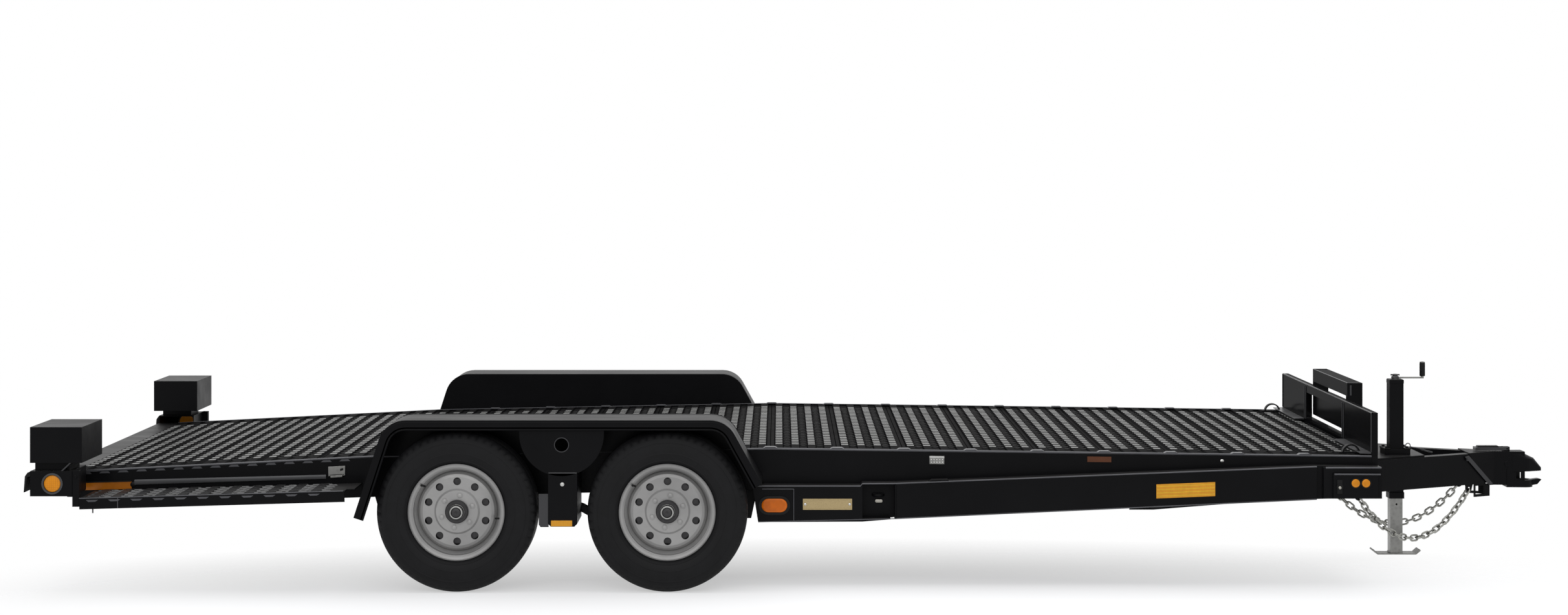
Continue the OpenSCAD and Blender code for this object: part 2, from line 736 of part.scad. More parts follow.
// The fender's line, d inside its outer face, with its two ends e longer
function fender_path(d, e = 0) = concat(
    [[
        fender_x0 + d * cos(fender_rear_a) - e * sin(fender_rear_a),
        fender_rear_z - d * sin(fender_rear_a) - e * cos(fender_rear_a)
    ]],
    fender_arc(rear_corner() + bend_run(fender_rear_a), 180 - fender_rear_a, 90, fender_r - d),
    fender_arc(front_corner() - bend_run(fender_front_a), 90, fender_front_a, fender_r - d),
    [[
        fender_x1 - d * cos(fender_front_a) + e * sin(fender_front_a),
        fender_front_z - d * sin(fender_front_a) - e * cos(fender_front_a)
    ]]
);
function reversed(p) = [for (i = [len(p) - 1:-1:0]) p[i]];

module fender() difference() {
    xz(concat(fender_path(0), reversed(fender_path(fender_lip))), -fender_y, -rail_y - seat);
    xz(
        concat(fender_path(sheet, over), reversed(fender_path(fender_lip + over, over))),
        -fender_y + sheet, -rail_y + over
    );
}

module fender_right() color([0.1, 0.1, 0.11]) fender();
module fender_left() color([0.1, 0.1, 0.11]) left_side() fender();

// Fender brackets between the wheels: a holed plate and a box down to the axle line

bracket_y = fender_y - 20;
bracket_w = 125;
bracket_low = 284;
bracket_top = 516;
bracket_hole = 60;

module fender_bracket() {
    top = fender_z - sheet - seat;
    difference() {
        xz([
            [axle_x - 184, top], [axle_x - 76, bracket_top], [axle_x + 68, bracket_top], [axle_x + 184, top]
        ], -bracket_y, -bracket_y + sheet);
        rod_y([axle_x, -bracket_y, 635], bracket_hole, 40);
    }
    difference() {
        xz([
            [axle_x - 58, bracket_low + 12], [axle_x - 58, bracket_top], [axle_x - 58 + bracket_w, bracket_top],
            [axle_x - 58 + bracket_w, bracket_low + 12], [axle_x - 70 + bracket_w, bracket_low], [axle_x - 46, bracket_low]
        ], -bracket_y, -rail_y - seat);
        block(
            [axle_x - 58 + sheet, -bracket_y + sheet, bracket_low - over],
            [axle_x - 58 + bracket_w - sheet, -rail_y + over, bracket_top - sheet]
        );
        rod_y([axle_x, -bracket_y, 466], 10, 30);
    }
}

module fender_brackets() color([0.1, 0.1, 0.11]) both_sides() fender_bracket();

// Axles, springs and hangers

axle_z = tyre_d / 2;
wheel_y = side_y - 10 - tyre_w / 2;
spring_y = rail_y - rail_w / 2;
spring_w = 45;
leaf_t = 8;
leaves = 4;
spring_half = 340;
spring_eye_z = 306;
plate_back = 40;

// Axle with its spindles, brake backing plates and spring pads, centred on its own X
module axle() {
    y_plate = wheel_y - plate_back;
    difference() {
        rod_y([0, 0, 0], axle_d, 2 * y_plate);
        rod_y([0, 0, 0], axle_d - 2 * axle_t, 2 * y_plate - 2 * axle_t);
    }
    both_sides() translate([0, -y_plate, 0]) rotate([90, 0, 0]) {
        cylinder(d = 290, h = 4);
        cylinder(d = 60, h = 10);
        cylinder(d = spindle_d, h = plate_back + 62);
    }
}

module axles() color([0.12, 0.12, 0.13]) for (s = [-1, 1]) translate([axle_x + s * axle_gap / 2, 0, axle_z]) axle();

// One leaf pack below the axle, from eye to eye
spring_top = axle_z - axle_d / 2 - seat;
eye_d = 30;
eye_bore = 15;
eye_pin = eye_bore - 2 * seat;
seat_block_h = 24;
leaf_sag = 20;

// Height of the first leaf's middle line, half way along is lowest
function leaf_z(x) = spring_top - seat_block_h - leaf_t / 2 + leaf_sag * pow(x / spring_half, 2);
function leaf_edge(half, dz) = [for (k = [-6:6]) let (x = half * k / 6) [x, leaf_z(x) + dz]];

module leaf_pack() {
    difference() {
        union() {
            for (i = [0:leaves - 1]) {
                half = spring_half * (1 - 0.2 * i);
                xz(
                    concat(leaf_edge(half, leaf_t / 2 - i * leaf_t + 0.5), reversed(leaf_edge(half, -leaf_t / 2 - i * leaf_t))),
                    -spring_w / 2, spring_w / 2
                );
            }
            for (s = [-1, 1]) rod_y([s * spring_half, 0, spring_eye_z], eye_d, spring_w);
            block([-45, -spring_w / 2 - 6, spring_top - seat_block_h], [45, spring_w / 2 + 6, spring_top]);
        }
        for (s = [-1, 1]) rod_y([s * spring_half, 0, spring_eye_z], eye_bore, spring_w * 2);
    }
}

module leaf_springs() color([0.14, 0.14, 0.15]) both_sides() {
    for (s = [-1, 1]) translate([axle_x + s * axle_gap / 2, -spring_y, 0]) leaf_pack();
    equaliser();
}

// Hangers under the rail's foot for the outer eyes and the equaliser, and shackles for the inner eyes
hanger_t = 6;
hanger_gap = spring_w / 2 + seat;
pivot_z = 350;
arm_x = 66;
arm_z = 330;
inner_eye = axle_gap / 2 - spring_half;
function rail_foot(x) = deck_z(x) - rail_depth(x);

// A pair of plates beside the spring's eyes, with a pin of length l through them
module plate_pair(points, pin) {
    for (s = [0, 1]) mirror([0, s, 0]) xz(points, hanger_gap, hanger_gap + hanger_t);
    rod_y([pin[0], 0, pin[1]], eye_pin, 2 * (hanger_gap + hanger_t));
}

module hanger(x, w, z_eye) {
    translate([0, -spring_y, 0]) plate_pair([
        [x - w / 2, rail_foot(x - w / 2) - seat], [x - w / 5, z_eye - 20], [x + w / 5, z_eye - 20],
        [x + w / 2, rail_foot(x + w / 2) - seat]
    ], [x, z_eye]);
}

module shackle(s) {
    translate([axle_x, -spring_y, 0]) {
        plate_pair([
            [s * (arm_x - 13), arm_z + 13], [s * (arm_x - 13), arm_z - 9], [s * (inner_eye - 9), spring_eye_z - 13],
            [s * (inner_eye + 13), spring_eye_z - 13], [s * (inner_eye + 13), spring_eye_z + 9],
            [s * (arm_x + 9), arm_z + 13]
        ], [s * inner_eye, spring_eye_z]);
        rod_y([s * arm_x, 0, arm_z], eye_pin, 2 * (hanger_gap + hanger_t));
    }
}

module spring_hangers() color([0.12, 0.12, 0.13]) both_sides() {
    for (s = [-1, 1]) {
        hanger(axle_x + s * (axle_gap / 2 + spring_half), 90, spring_eye_z);
        shackle(s);
    }
    hanger(axle_x, 90, pivot_z);
}

module equaliser() translate([axle_x, -spring_y, 0]) difference() {
    xz([
        [-arm_x - 14, arm_z - 14], [-arm_x - 14, arm_z + 12], [-14, pivot_z + 18], [14, pivot_z + 18],
        [arm_x + 14, arm_z + 12], [arm_x + 14, arm_z - 14], [0, pivot_z - 24]
    ], -spring_w / 2, spring_w / 2);
    rod_y([0, 0, pivot_z], eye_bore, spring_w * 2);
    for (s = [-1, 1]) rod_y([s * arm_x, 0, arm_z], eye_bore, spring_w * 2);
}

// Wheels

rim_r = rim_d / 2;
bead_r = bead_d / 2;
tyre_half = tyre_w / 2;

// Tyre section, open to the rim between its beads, with four tread grooves
groove_w = 8;
groove_h = 7;
function groove(z) = [
    [axle_z, z - groove_w / 2], [axle_z - groove_h, z - groove_w / 2], [axle_z - groove_h, z + groove_w / 2],
    [axle_z, z + groove_w / 2]
];
function tyre_side(s) = [
    [bead_r + 0.4, s * 69], [bead_r + 6, s * 75], [rim_r + 2, s * 80], [rim_r + 10, s * (tyre_half - 12)],
    [rim_r + 30, s * (tyre_half - 3)], [rim_r + 60, s * tyre_half], [axle_z - 40, s * (tyre_half - 4)],
    [axle_z - 16, s * (tyre_half - 14)], [axle_z - 4, s * (tyre_half - 24)], [axle_z, s * (tyre_half - 38)]
];
function tyre_bore(s) = [
    [bead_r + 0.4, s * 55], [bead_r + 14, s * 58], [rim_r + 20, s * (tyre_half - 18)], [rim_r + 60, s * (tyre_half - 9)],
    [axle_z - 30, s * (tyre_half - 22)], [axle_z - 14, s * (tyre_half - 50)]
];

module tyre() color([0.05, 0.05, 0.05]) rotate_extrude($fn = 96) polygon(concat(
    tyre_side(-1), groove(-42), groove(-14), groove(14), groove(42), reversed(tyre_side(1)),
    tyre_bore(1), reversed(tyre_bore(-1))
));

rim_t = 4.5;
well_r = bead_r - 18;
hand_circle = 129;
pilot_r = 50;

module rim() color([0.72, 0.73, 0.74]) difference() {
    rotate_extrude($fn = 96) union() {
        polygon([
            [rim_r - 5, -90], [rim_r, -86], [rim_r, -81], [bead_r + 6, -76], [bead_r, -70], [bead_r, -52],
            [well_r, -38], [well_r, 20], [bead_r, 42], [bead_r, 70], [bead_r + 6, 76], [rim_r, 81], [rim_r, 86],
            [rim_r - 5, 90], [rim_r - 5, 85], [bead_r + 3, 80], [bead_r - rim_t, 73], [bead_r - rim_t, 45],
            [well_r - rim_t, 23], [well_r - rim_t, -41], [bead_r - rim_t, -55], [bead_r - rim_t, -73],
            [bead_r + 3, -80], [rim_r - 5, -85]
        ]);
        polygon([
            [well_r - 2, 12], [well_r - 2, 32], [160, 46], [148, 51], [98, 51], [90, 58], [pilot_r, 58],
            [pilot_r, 53], [87, 53], [95, 46], [146, 46], [156, 41], [162, 28], [162, 12]
        ]);
    }
    for (i = [0:hand_holes - 1])
        rotate([0, 0, i * 360 / hand_holes + 18]) translate([hand_circle, 0, 20]) cylinder(d = hand_hole_d, h = 60);
}

spindle_r = spindle_d / 2 + spindle_gap;

// Hub and brake drum, with the grease cap proud of the disc
module hub() color([0.25, 0.25, 0.26]) rotate_extrude($fn = 96) polygon([
    [spindle_r, -26], [40, -26], [40, 30], [132, 30], [132, -28], [140, -28], [140, 38], [84, 40], [84, 52.7],
    [pilot_r - 0.5, 52.7], [pilot_r - 0.5, 72], [46, 76], [32, 76], [32, 90], [28, 96], [0, 96], [0, 66],
    [spindle_r, 66]
]);

// Places its child on the right side's wheel centre with +Z pointing outboard
module at_wheel(s) {
    translate([axle_x + s * axle_gap / 2, -wheel_y, axle_z]) rotate([90, 0, 0]) children();
}

module tyre_front_right() at_wheel(1) tyre();
module tyre_front_left() left_side() at_wheel(1) tyre();
module tyre_rear_right() at_wheel(-1) tyre();
module tyre_rear_left() left_side() at_wheel(-1) tyre();
module wheel_front_right() at_wheel(1) rim();
module wheel_front_left() left_side() at_wheel(1) rim();
module wheel_rear_right() at_wheel(-1) rim();
module wheel_rear_left() left_side() at_wheel(-1) rim();
module hub_front_right() at_wheel(1) hub();
module hub_front_left() left_side() at_wheel(1) hub();
module hub_rear_right() at_wheel(-1) hub();
module hub_rear_left() left_side() at_wheel(-1) hub();

// Rear bumper with end plates

bumper_top = tail_z - tail_fall;
housing_y = rail_y + 40;

module rear_bumper() color([0.08, 0.08, 0.09]) difference() {
    block([deck_x0, -housing_y, bumper_top - bumper_h], [rail_x0 - seat, housing_y, bumper_top]);
    block(
        [deck_x0 + rail_t, -housing_y + rail_t, bumper_top - bumper_h + rail_t],
        [rail_x0 + over, housing_y - rail_t, bumper_top - rail_t]
    );
}

// Corner housings for the rear side lamps
housing_l = 180;
housing_low = 417;
housing_top = 525;
corner_lamp_d = 80;
corner_lamp_x = deck_x0 + 92;
corner_lamp_z = 471;

module corner_housing() difference() {
    block([deck_x0, -side_y, housing_low], [deck_x0 + housing_l, -housing_y - seat, housing_top]);
    block(
        [deck_x0 + sheet, -side_y + sheet, housing_low + sheet],
        [deck_x0 + housing_l - sheet, -housing_y + over, housing_top - sheet]
    );
    rod_y([corner_lamp_x, -side_y, corner_lamp_z], corner_lamp_d + 2 * seat, 40);
}

// Sheet boxes above the corner housings, on a short hollow foot
box_l = 222;
box_w = 340;
box_low = 560;
box_top = 713;

module tail_box() difference() {
    foot_a = [deck_x0 + 14, -side_y + 30, housing_top + seat];
    foot_b = [deck_x0 + housing_l - 20, -side_y + 200, box_low + sheet];
    wall = [sheet, sheet, 0];
    union() {
        block([deck_x0, -side_y, box_low], [deck_x0 + box_l, -side_y + box_w, box_top]);
        block(foot_a, foot_b);
    }
    block([deck_x0, -side_y, box_low] + wall + [0, 0, sheet], [deck_x0 + box_l, -side_y + box_w, box_top - sheet] - wall);
    block(foot_a + wall - [0, 0, over], foot_b - wall + [0, 0, over]);
}

module rear_housings() color([0.08, 0.08, 0.09]) both_sides() {
    corner_housing();
    tail_box();
}

module rear_flaps() color([0.06, 0.06, 0.06]) both_sides() xz([
    [deck_x0 - seat, housing_top - 6], [deck_x0 - 14, housing_top - 8], [deck_x0 - flap_reach + 5, housing_top - 24],
    [deck_x0 - flap_reach, housing_top - 92], [deck_x0 - flap_reach + 4, housing_top - 92],
    [deck_x0 - 16, housing_top - 28], [deck_x0 - seat, housing_top - 20]
], -side_y + 10, -side_y + 180);

// Lamps, reflectors and small fittings on the sides

module round_lamp(x, y, z, d, h) {
    translate([x, -y - seat, z]) rotate([90, 0, 0]) cylinder(d = d, h = h);
}

module oval_lamp(x, y, z, l, w, h) {
    translate([x, -y - seat, z]) rotate([90, 0, 0]) {
        for (s = [-1, 1]) translate([s * (l - w) / 2, 0, 0]) cylinder(d = w, h = h);
        translate([-(l - w) / 2, -w / 2, 0]) cube([l - w, w, h]);
    }
}

module amber_lamps() color([0.95, 0.5, 0.08]) both_sides() {
    rod_y([corner_lamp_x, -side_y + 8, corner_lamp_z], corner_lamp_d, 16);
    oval_lamp(back(2646), beam_y, 349, 112, 60, 8);
    round_lamp(back(107), beam_y + corner_proud, 451, 36, 8);
    round_lamp(back(62), beam_y + corner_proud, 451, 36, 8);
}

module face_plate(x, z, l, h, y, t, a) {
    translate([x, -y - seat, z]) rotate([0, -a, 0]) translate([-l / 2, -t, -h / 2]) cube([l, t, h]);
}

// Oval lamps on the rear faces of the boxes
module tail_lamps() color([0.6, 0.04, 0.04]) both_sides()
    translate([deck_x0 - seat, -side_y + box_w / 2, (box_low + box_top) / 2]) rotate([0, -90, 0]) {
        for (s = [-1, 1]) translate([0, s * 50, 0]) cylinder(d = 60, h = 10);
        translate([-30, -50, 0]) cube([60, 100, 10]);
    }

module reflectors() color([0.95, 0.7, 0.1]) both_sides() {
    face_plate(back(855), 419, 256, 70, beam_y, 3, atan(beam_slope()));
    face_plate(back(1222), 544, 105, 24, rail_y, 4, -0.7);
    face_plate(back(5566), 430, 204, 26, rail_y, 4, 2);
}

module side_fittings() color([0.7, 0.68, 0.6]) both_sides() {
    face_plate(back(2415), 355, 214, 48, beam_y, 2, 0);
    face_plate(back(1934), 541, 65, 42, rail_y, 6, 0);
    face_plate(back(4564), 490, 74, 48, rail_y, 12, 1.5);
    face_plate(back(5031), 461, 840, 18, rail_y, 14, 2.4);
}

// Bent flat loops on the deck behind the headboard, and the bars in the side recesses
loop_r = 40;
loop_w = 30;
loop_t = 6;

module tie_down_loops() color([0.14, 0.14, 0.15]) both_sides() {
    x = back(100);
    translate([x, -rail_y + 90, deck_z(x) + 1]) rotate([90, 0, 0]) translate([0, 0, -loop_w / 2])
        linear_extrude(loop_w) union() {
            difference() {
                circle(r = loop_r);
                circle(r = loop_r - loop_t);
                translate([-loop_r - over, -loop_r - over]) square([2 * loop_r + 2 * over, loop_r + over]);
            }
            translate([-loop_r - 14, 0]) square([2 * loop_r + 28, loop_t]);
        }
    pocket_hook();
}

deck_rails();
deck_planks_front();
deck_planks_middle();
deck_planks_tail();
crossmembers();
side_ledges();
side_beams();
side_lamp_boxes();
front_crossmember();
headboard();
winch_stand();
tongue_beam_right();
tongue_beam_left();
tongue_plate();
jack_tube();
jack_leg();
jack_crank();
coupler_body();
coupler_latch();
chain_lugs();
safety_chains();
fender_right();
fender_left();
fender_brackets();
axles();
leaf_springs();
spring_hangers();
rear_bumper();
rear_housings();
rear_flaps();
amber_lamps();
tail_lamps();
reflectors();
side_fittings();
tie_down_loops();
tyre_front_right();
tyre_front_left();
tyre_rear_right();
tyre_rear_left();
wheel_front_right();
wheel_front_left();
wheel_rear_right();
wheel_rear_left();
hub_front_right();
hub_front_left();
hub_rear_right();
hub_rear_left();
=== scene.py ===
"""Looks for a tandem axle car trailer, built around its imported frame. Metres, +X to the coupler, +Z up."""
import json
import math

import bmesh
import bpy
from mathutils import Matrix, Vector


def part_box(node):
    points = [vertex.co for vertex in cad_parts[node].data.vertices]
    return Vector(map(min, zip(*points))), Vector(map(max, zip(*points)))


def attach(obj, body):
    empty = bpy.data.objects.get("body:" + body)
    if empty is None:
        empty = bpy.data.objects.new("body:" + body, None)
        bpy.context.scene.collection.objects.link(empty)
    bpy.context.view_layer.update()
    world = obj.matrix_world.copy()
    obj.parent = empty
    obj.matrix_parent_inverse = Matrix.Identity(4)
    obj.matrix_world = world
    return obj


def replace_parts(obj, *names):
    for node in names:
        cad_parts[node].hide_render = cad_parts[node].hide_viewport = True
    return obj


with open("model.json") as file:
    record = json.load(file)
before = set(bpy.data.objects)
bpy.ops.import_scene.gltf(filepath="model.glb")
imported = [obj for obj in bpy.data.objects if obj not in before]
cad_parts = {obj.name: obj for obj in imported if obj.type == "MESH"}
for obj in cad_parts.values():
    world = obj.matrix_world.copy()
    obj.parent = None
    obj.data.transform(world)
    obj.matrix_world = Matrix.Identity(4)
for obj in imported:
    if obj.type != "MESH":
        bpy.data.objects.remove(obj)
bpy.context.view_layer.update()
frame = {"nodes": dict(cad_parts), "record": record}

scene = bpy.context.scene
SIDES = (("right", -1), ("left", 1))

# Camera

FOCAL_PX = 4079
IMAGE_W, IMAGE_H = 2424, 950
HORIZON_Y, VANISH_X = 230, 1205
CAMERA_AT = (-0.1965, -12.59, 1.904)
SENSOR = 36
camera_data = bpy.data.cameras.new("camera")
camera_data.sensor_width = SENSOR
camera_data.lens = SENSOR * FOCAL_PX / IMAGE_W
camera_data.shift_x = (IMAGE_W / 2 - VANISH_X) / IMAGE_W
camera_data.shift_y = (HORIZON_Y - IMAGE_H / 2) / IMAGE_W
camera_data.clip_end = 200
camera = bpy.data.objects.new("camera", camera_data)
camera.location = CAMERA_AT
camera.rotation_euler = (math.pi / 2, 0, 0)
scene.collection.objects.link(camera)
scene.camera = camera
scene.view_settings.view_transform = "Standard"

# Materials


class Nodes:
    """A short way to write a material's nodes."""

    def __init__(self, name):
        self.mat = bpy.data.materials.new(name)
        self.mat.use_nodes = True
        self.tree = self.mat.node_tree
        self.tree.nodes.clear()
        self.out = self.add("OutputMaterial")
        self.shader = self.add("BsdfPrincipled")
        self.link(self.shader.outputs[0], self.out.inputs["Surface"])
        self.coords = self.add("TexCoord").outputs["Object"]

    def add(self, kind, **props):
        node = self.tree.nodes.new("ShaderNode" + kind)
        for key, value in props.items():
            setattr(node, key, value)
        return node

    def link(self, a, b):
        self.tree.links.new(a, b)

    def set(self, **values):
        for key, value in values.items():
            self.shader.inputs[key.replace("_", " ")].default_value = value

    def noise(self, scale, detail=3, rough=0.5, stretch=None):
        node = self.add("TexNoise")
        node.inputs["Scale"].default_value = scale
        node.inputs["Detail"].default_value = detail
        node.inputs["Roughness"].default_value = rough
        source = self.coords
        if stretch:
            move = self.add("Mapping")
            move.inputs["Scale"].default_value = stretch
            self.link(self.coords, move.inputs["Vector"])
            source = move.outputs[0]
        self.link(source, node.inputs["Vector"])
        return node.outputs["Fac"]

    def span(self, value, a, b, low, high):
        node = self.add("MapRange")
        for i, v in enumerate((a, b, low, high)):
            node.inputs[i + 1].default_value = v
        self.link(value, node.inputs[0])
        return node.outputs[0]

    def mix(self, fac, a, b):
        node = self.add("Mix", data_type="RGBA")
        self.link(fac, node.inputs[0])
        for socket, v in ((node.inputs[6], a), (node.inputs[7], b)):
            if isinstance(v, tuple):
                socket.default_value = (*v, 1)
            else:
                self.link(v, socket)
        return node.outputs[2]

    def math(self, op, a, b=0.0, clamp=False):
        node = self.add("Math", operation=op, use_clamp=clamp)
        for socket, v in ((node.inputs[0], a), (node.inputs[1], b)):
            if isinstance(v, (int, float)):
                socket.default_value = v
            else:
                self.link(v, socket)
        return node.outputs[0]

    def up(self):
        """1 where the surface faces up, 0 where it is upright or faces down."""
        split = self.add("SeparateXYZ")
        self.link(self.add("NewGeometry").outputs["Normal"], split.inputs[0])
        return self.math("MAXIMUM", split.outputs[2], 0.0)

    def bump(self, height, strength, distance=0.001, round_edges=0.0):
        node = self.add("Bump")
        node.inputs["Strength"].default_value = strength
        node.inputs["Distance"].default_value = distance
        self.link(height, node.inputs["Height"])
        if round_edges:
            bevel = self.add("Bevel", samples=4)
            bevel.inputs["Radius"].default_value = round_edges
            self.link(bevel.outputs[0], node.inputs["Normal"])
        self.link(node.outputs[0], self.shader.inputs["Normal"])


def tone(color, k):
    """A colour made k times as bright, up to white."""
    return tuple(min(1, v * k) for v in color)


def paint(name, base, rough, dust_and_sheen=0.35, grain=500, edge=0.003, metal=0.0,
          dust_and_sheen_color=(0.16, 0.155, 0.15), gloss=0.14, peel=0.12, coat=0.0):
    """Sprayed paint: a fine grain, uneven gloss, and a tint on what faces up, which is dust, and on the edge,
    fold and tread paints also a painted sheen.
    """
    n = Nodes(name)
    cloud = n.noise(3, 5, 0.6)
    streak = n.noise(9, 4, 0.6, stretch=(0.25, 1, 1))
    lift = n.mix(n.span(cloud, 0.35, 0.7, 0, 1), tone(base, 0.85), tone(base, 1.2))
    # Upward faces take the top tint: dust, and on the lighter edge, fold and tread paints a painted sheen
    # from above
    dust_and_sheen_on_top = n.math("MULTIPLY", n.math("POWER", n.up(), 3.0), n.span(streak, 0.3, 0.75, dust_and_sheen * 0.35, dust_and_sheen))
    n.link(n.mix(dust_and_sheen_on_top, lift, dust_and_sheen_color), n.shader.inputs["Base Color"])
    n.link(n.span(streak, 0.3, 0.7, rough - 0.05, rough + 0.08), n.shader.inputs["Roughness"])
    n.set(Metallic=metal, Specular_IOR_Level=gloss, Coat_Weight=coat, Coat_Roughness=0.18)
    n.bump(n.noise(grain, 2), peel, 0.0004, edge)
    return n.mat


def metal(name, base, rough, spangle=40, edge=0.001, metallic=1.0):
    """Bare or plated metal with a faint spangle and fine scratches."""
    n = Nodes(name)
    cell = n.add("TexVoronoi")
    cell.inputs["Scale"].default_value = spangle
    n.link(n.coords, cell.inputs["Vector"])
    fleck = n.span(cell.outputs["Distance"], 0, 0.6, 0, 1)
    n.link(n.mix(fleck, tone(base, 0.86), tone(base, 1.08)), n.shader.inputs["Base Color"])
    scratch = n.noise(160, 3, 0.6, stretch=(1, 1, 0.08))
    n.link(n.span(scratch, 0.3, 0.7, rough - 0.06, rough + 0.1), n.shader.inputs["Roughness"])
    n.set(Metallic=metallic)
    n.bump(scratch, 0.08, 0.0003, edge)
    return n.mat


def lens(name, base, scale, shape="CHEBYCHEV", deep=0.45):
    """Moulded lens plastic with small prisms below a smooth skin."""
    n = Nodes(name)
    cell = n.add("TexVoronoi", distance=shape)
    cell.inputs["Scale"].default_value = scale
    cell.inputs["Randomness"].default_value = 0.0
    n.link(n.coords, cell.inputs["Vector"])
    depth = n.span(cell.outputs["Distance"], 0, 0.6, 0, 1)
    cloud = n.noise(40, 3, 0.6)
    shade = n.math("MULTIPLY", depth, n.span(cloud, 0.3, 0.7, 0.6, 1))
    n.link(n.mix(shade, base, tone(base, deep)), n.shader.inputs["Base Color"])
    n.set(Roughness=0.3, Specular_IOR_Level=0.18, Coat_Weight=0.1, Coat_Roughness=0.1)
    # A faint painted glow in the lens colour, also on the reflectors, which are no lamps
    n.set(Emission_Strength=0.04, Emission_Color=(*base, 1))
    n.bump(depth, 0.35, 0.0006)
    return n.mat


def rubber(name, base, rough, grain):
    """Rubber or plain plastic with cloudy wear and a fine grain."""
    n = Nodes(name)
    cloud = n.noise(14, 4, 0.6)
    wear = n.span(cloud, 0.35, 0.7, 0, 1)
    n.link(n.mix(wear, tone(base, 0.8), tone(base, 1.35)), n.shader.inputs["Base Color"])
    n.link(n.span(cloud, 0.3, 0.7, rough - 0.06, rough + 0.08), n.shader.inputs["Roughness"])
    n.set(Specular_IOR_Level=0.14)
    n.bump(n.noise(grain, 2), 0.15, 0.0004)
    return n.mat


BLACK = paint("black_paint", (0.0038, 0.0038, 0.0043), 0.4, dust_and_sheen=0.12, gloss=0.04, coat=0.05)
HEAD = paint("headboard_paint", (0.004, 0.004, 0.0044), 0.3, dust_and_sheen=0.05, grain=320, gloss=0.0,
             peel=0.04, coat=0.1)
DECK = paint("deck_paint", (0.005, 0.005, 0.0052), 0.5, dust_and_sheen=0.06, gloss=0.0, coat=0.03)
# Grey deck tread pads: the light grey is a painted sheen of glossy pad tops, lighter still on top
PAD = paint("tread_painted_sheen", (0.17, 0.17, 0.165), 0.36, dust_and_sheen=0.4, metal=0.3, edge=0.0015,
            dust_and_sheen_color=(0.27, 0.27, 0.26), gloss=0.3)
# Dark grey for creases, folds, straps and trims: a painted highlight on glossy black edges, lighter still on
# top
FOLD = paint("fold_painted_highlight", (0.03, 0.03, 0.032), 0.32, dust_and_sheen=0.5, edge=0.001,
             dust_and_sheen_color=(0.14, 0.14, 0.14), gloss=0.3)
SCALLOP = paint("deck_scallop", (0.014, 0.014, 0.014), 0.4, dust_and_sheen=0.2, edge=0.001, gloss=0.02)
# Lighter grey ledge lugs: a painted highlight on their lit tops
LEDGE_PAD = paint("ledge_tread", (0.075, 0.075, 0.075), 0.35, dust_and_sheen=0.3, metal=0.2, edge=0.001, gloss=0.2)
# Lighter grey for rods, lips, tabs and louvres on the black frame: a painted highlight where edges catch the
# light, lighter still on top
EDGE = paint("edge_painted_highlight", (0.075, 0.075, 0.08), 0.35, dust_and_sheen=0.6, metal=0.2, edge=0.001,
             dust_and_sheen_color=(0.2, 0.2, 0.205))
AXLE = paint("axle_paint", (0.008, 0.008, 0.0085), 0.55, dust_and_sheen=0.4)
TYRE = rubber("tyre_rubber", (0.0055, 0.0055, 0.006), 0.55, 900)
MUD = rubber("flap_rubber", (0.009, 0.009, 0.009), 0.7, 400)
SILVER = paint("wheel_silver", (0.29, 0.286, 0.28), 0.36, dust_and_sheen=0.1, grain=900, edge=0.001,
               metal=0.35, gloss=0.35)
IRON = metal("hub_iron", (0.035, 0.034, 0.035), 0.42, 60, metallic=0.7)
ZINC = metal("zinc", (0.2, 0.2, 0.192), 0.36, 55, edge=0.0015)
CHAIN = metal("chain_zinc", (0.28, 0.28, 0.26), 0.3, 90, edge=0)
BRIGHT = metal("bright_steel", (0.42, 0.42, 0.41), 0.25, 70)
CAP = metal("cap_metal", (0.32, 0.32, 0.31), 0.3, 70)
BRASS = metal("plate_metal", (0.34, 0.26, 0.13), 0.42, 200, metallic=0.6)
BARE = metal("bare_metal", (0.3, 0.29, 0.26), 0.38, 80)
LEDGE_GREY = paint("ledge_grey", (0.06, 0.06, 0.062), 0.45, dust_and_sheen=0.4, edge=0.001, dust_and_sheen_color=(0.1, 0.1, 0.1))
AMBER = lens("amber_lens", (0.7, 0.15, 0.004), 190)
GLOW = lens("round_lens", (0.85, 0.3, 0.008), 120)
STRIPE = lens("reflector_stripe", (0.86, 0.5, 0.03), 400)
BAR_GREY = paint("bar_grey", (0.08, 0.08, 0.082), 0.4, dust_and_sheen=0.3, edge=0.001,
                 dust_and_sheen_color=(0.13, 0.13, 0.13), gloss=0.3)
RED = lens("red_lens", (0.35, 0.008, 0.008), 200)
YELLOW = lens("yellow_reflector", (0.76, 0.34, 0.022), 260)
ORANGE = lens("orange_reflector", (0.5, 0.15, 0.005), 260)
DIM_AMBER = lens("amber_strip", (0.12, 0.035, 0.01), 260)
DARK = rubber("black_plastic", (0.006, 0.006, 0.006), 0.45, 500)

LOOKS = {
    "black_paint": BLACK, "deck_paint": DECK, "axle_paint": AXLE, "tyre": TYRE, "wheel_silver": SILVER,
    "hub_iron": IRON, "zinc": ZINC, "amber_lens": GLOW, "red_lens": RED, "yellow_reflector": YELLOW,
    "bare_metal": BARE, "rubber": MUD,
}
# The latch takes the fold grey: a painted highlight on its glossy black
SPECIAL = {"headboard": HEAD, "safety_chains": CHAIN, "coupler_latch": FOLD, "winch_stand": HEAD}
slot_of = {p["node"]: p["material_slot"] for p in frame["record"]["subparts"]}
for node, obj in frame["nodes"].items():
    look = SPECIAL.get(node) or LOOKS[slot_of[node]]
    for i in range(max(1, len(obj.material_slots))):
        if obj.material_slots:
            obj.material_slots[i].material = look
        else:
            obj.data.materials.append(look)


# Mesh building

POINT_R, MERGE = 1e-5, 2e-5


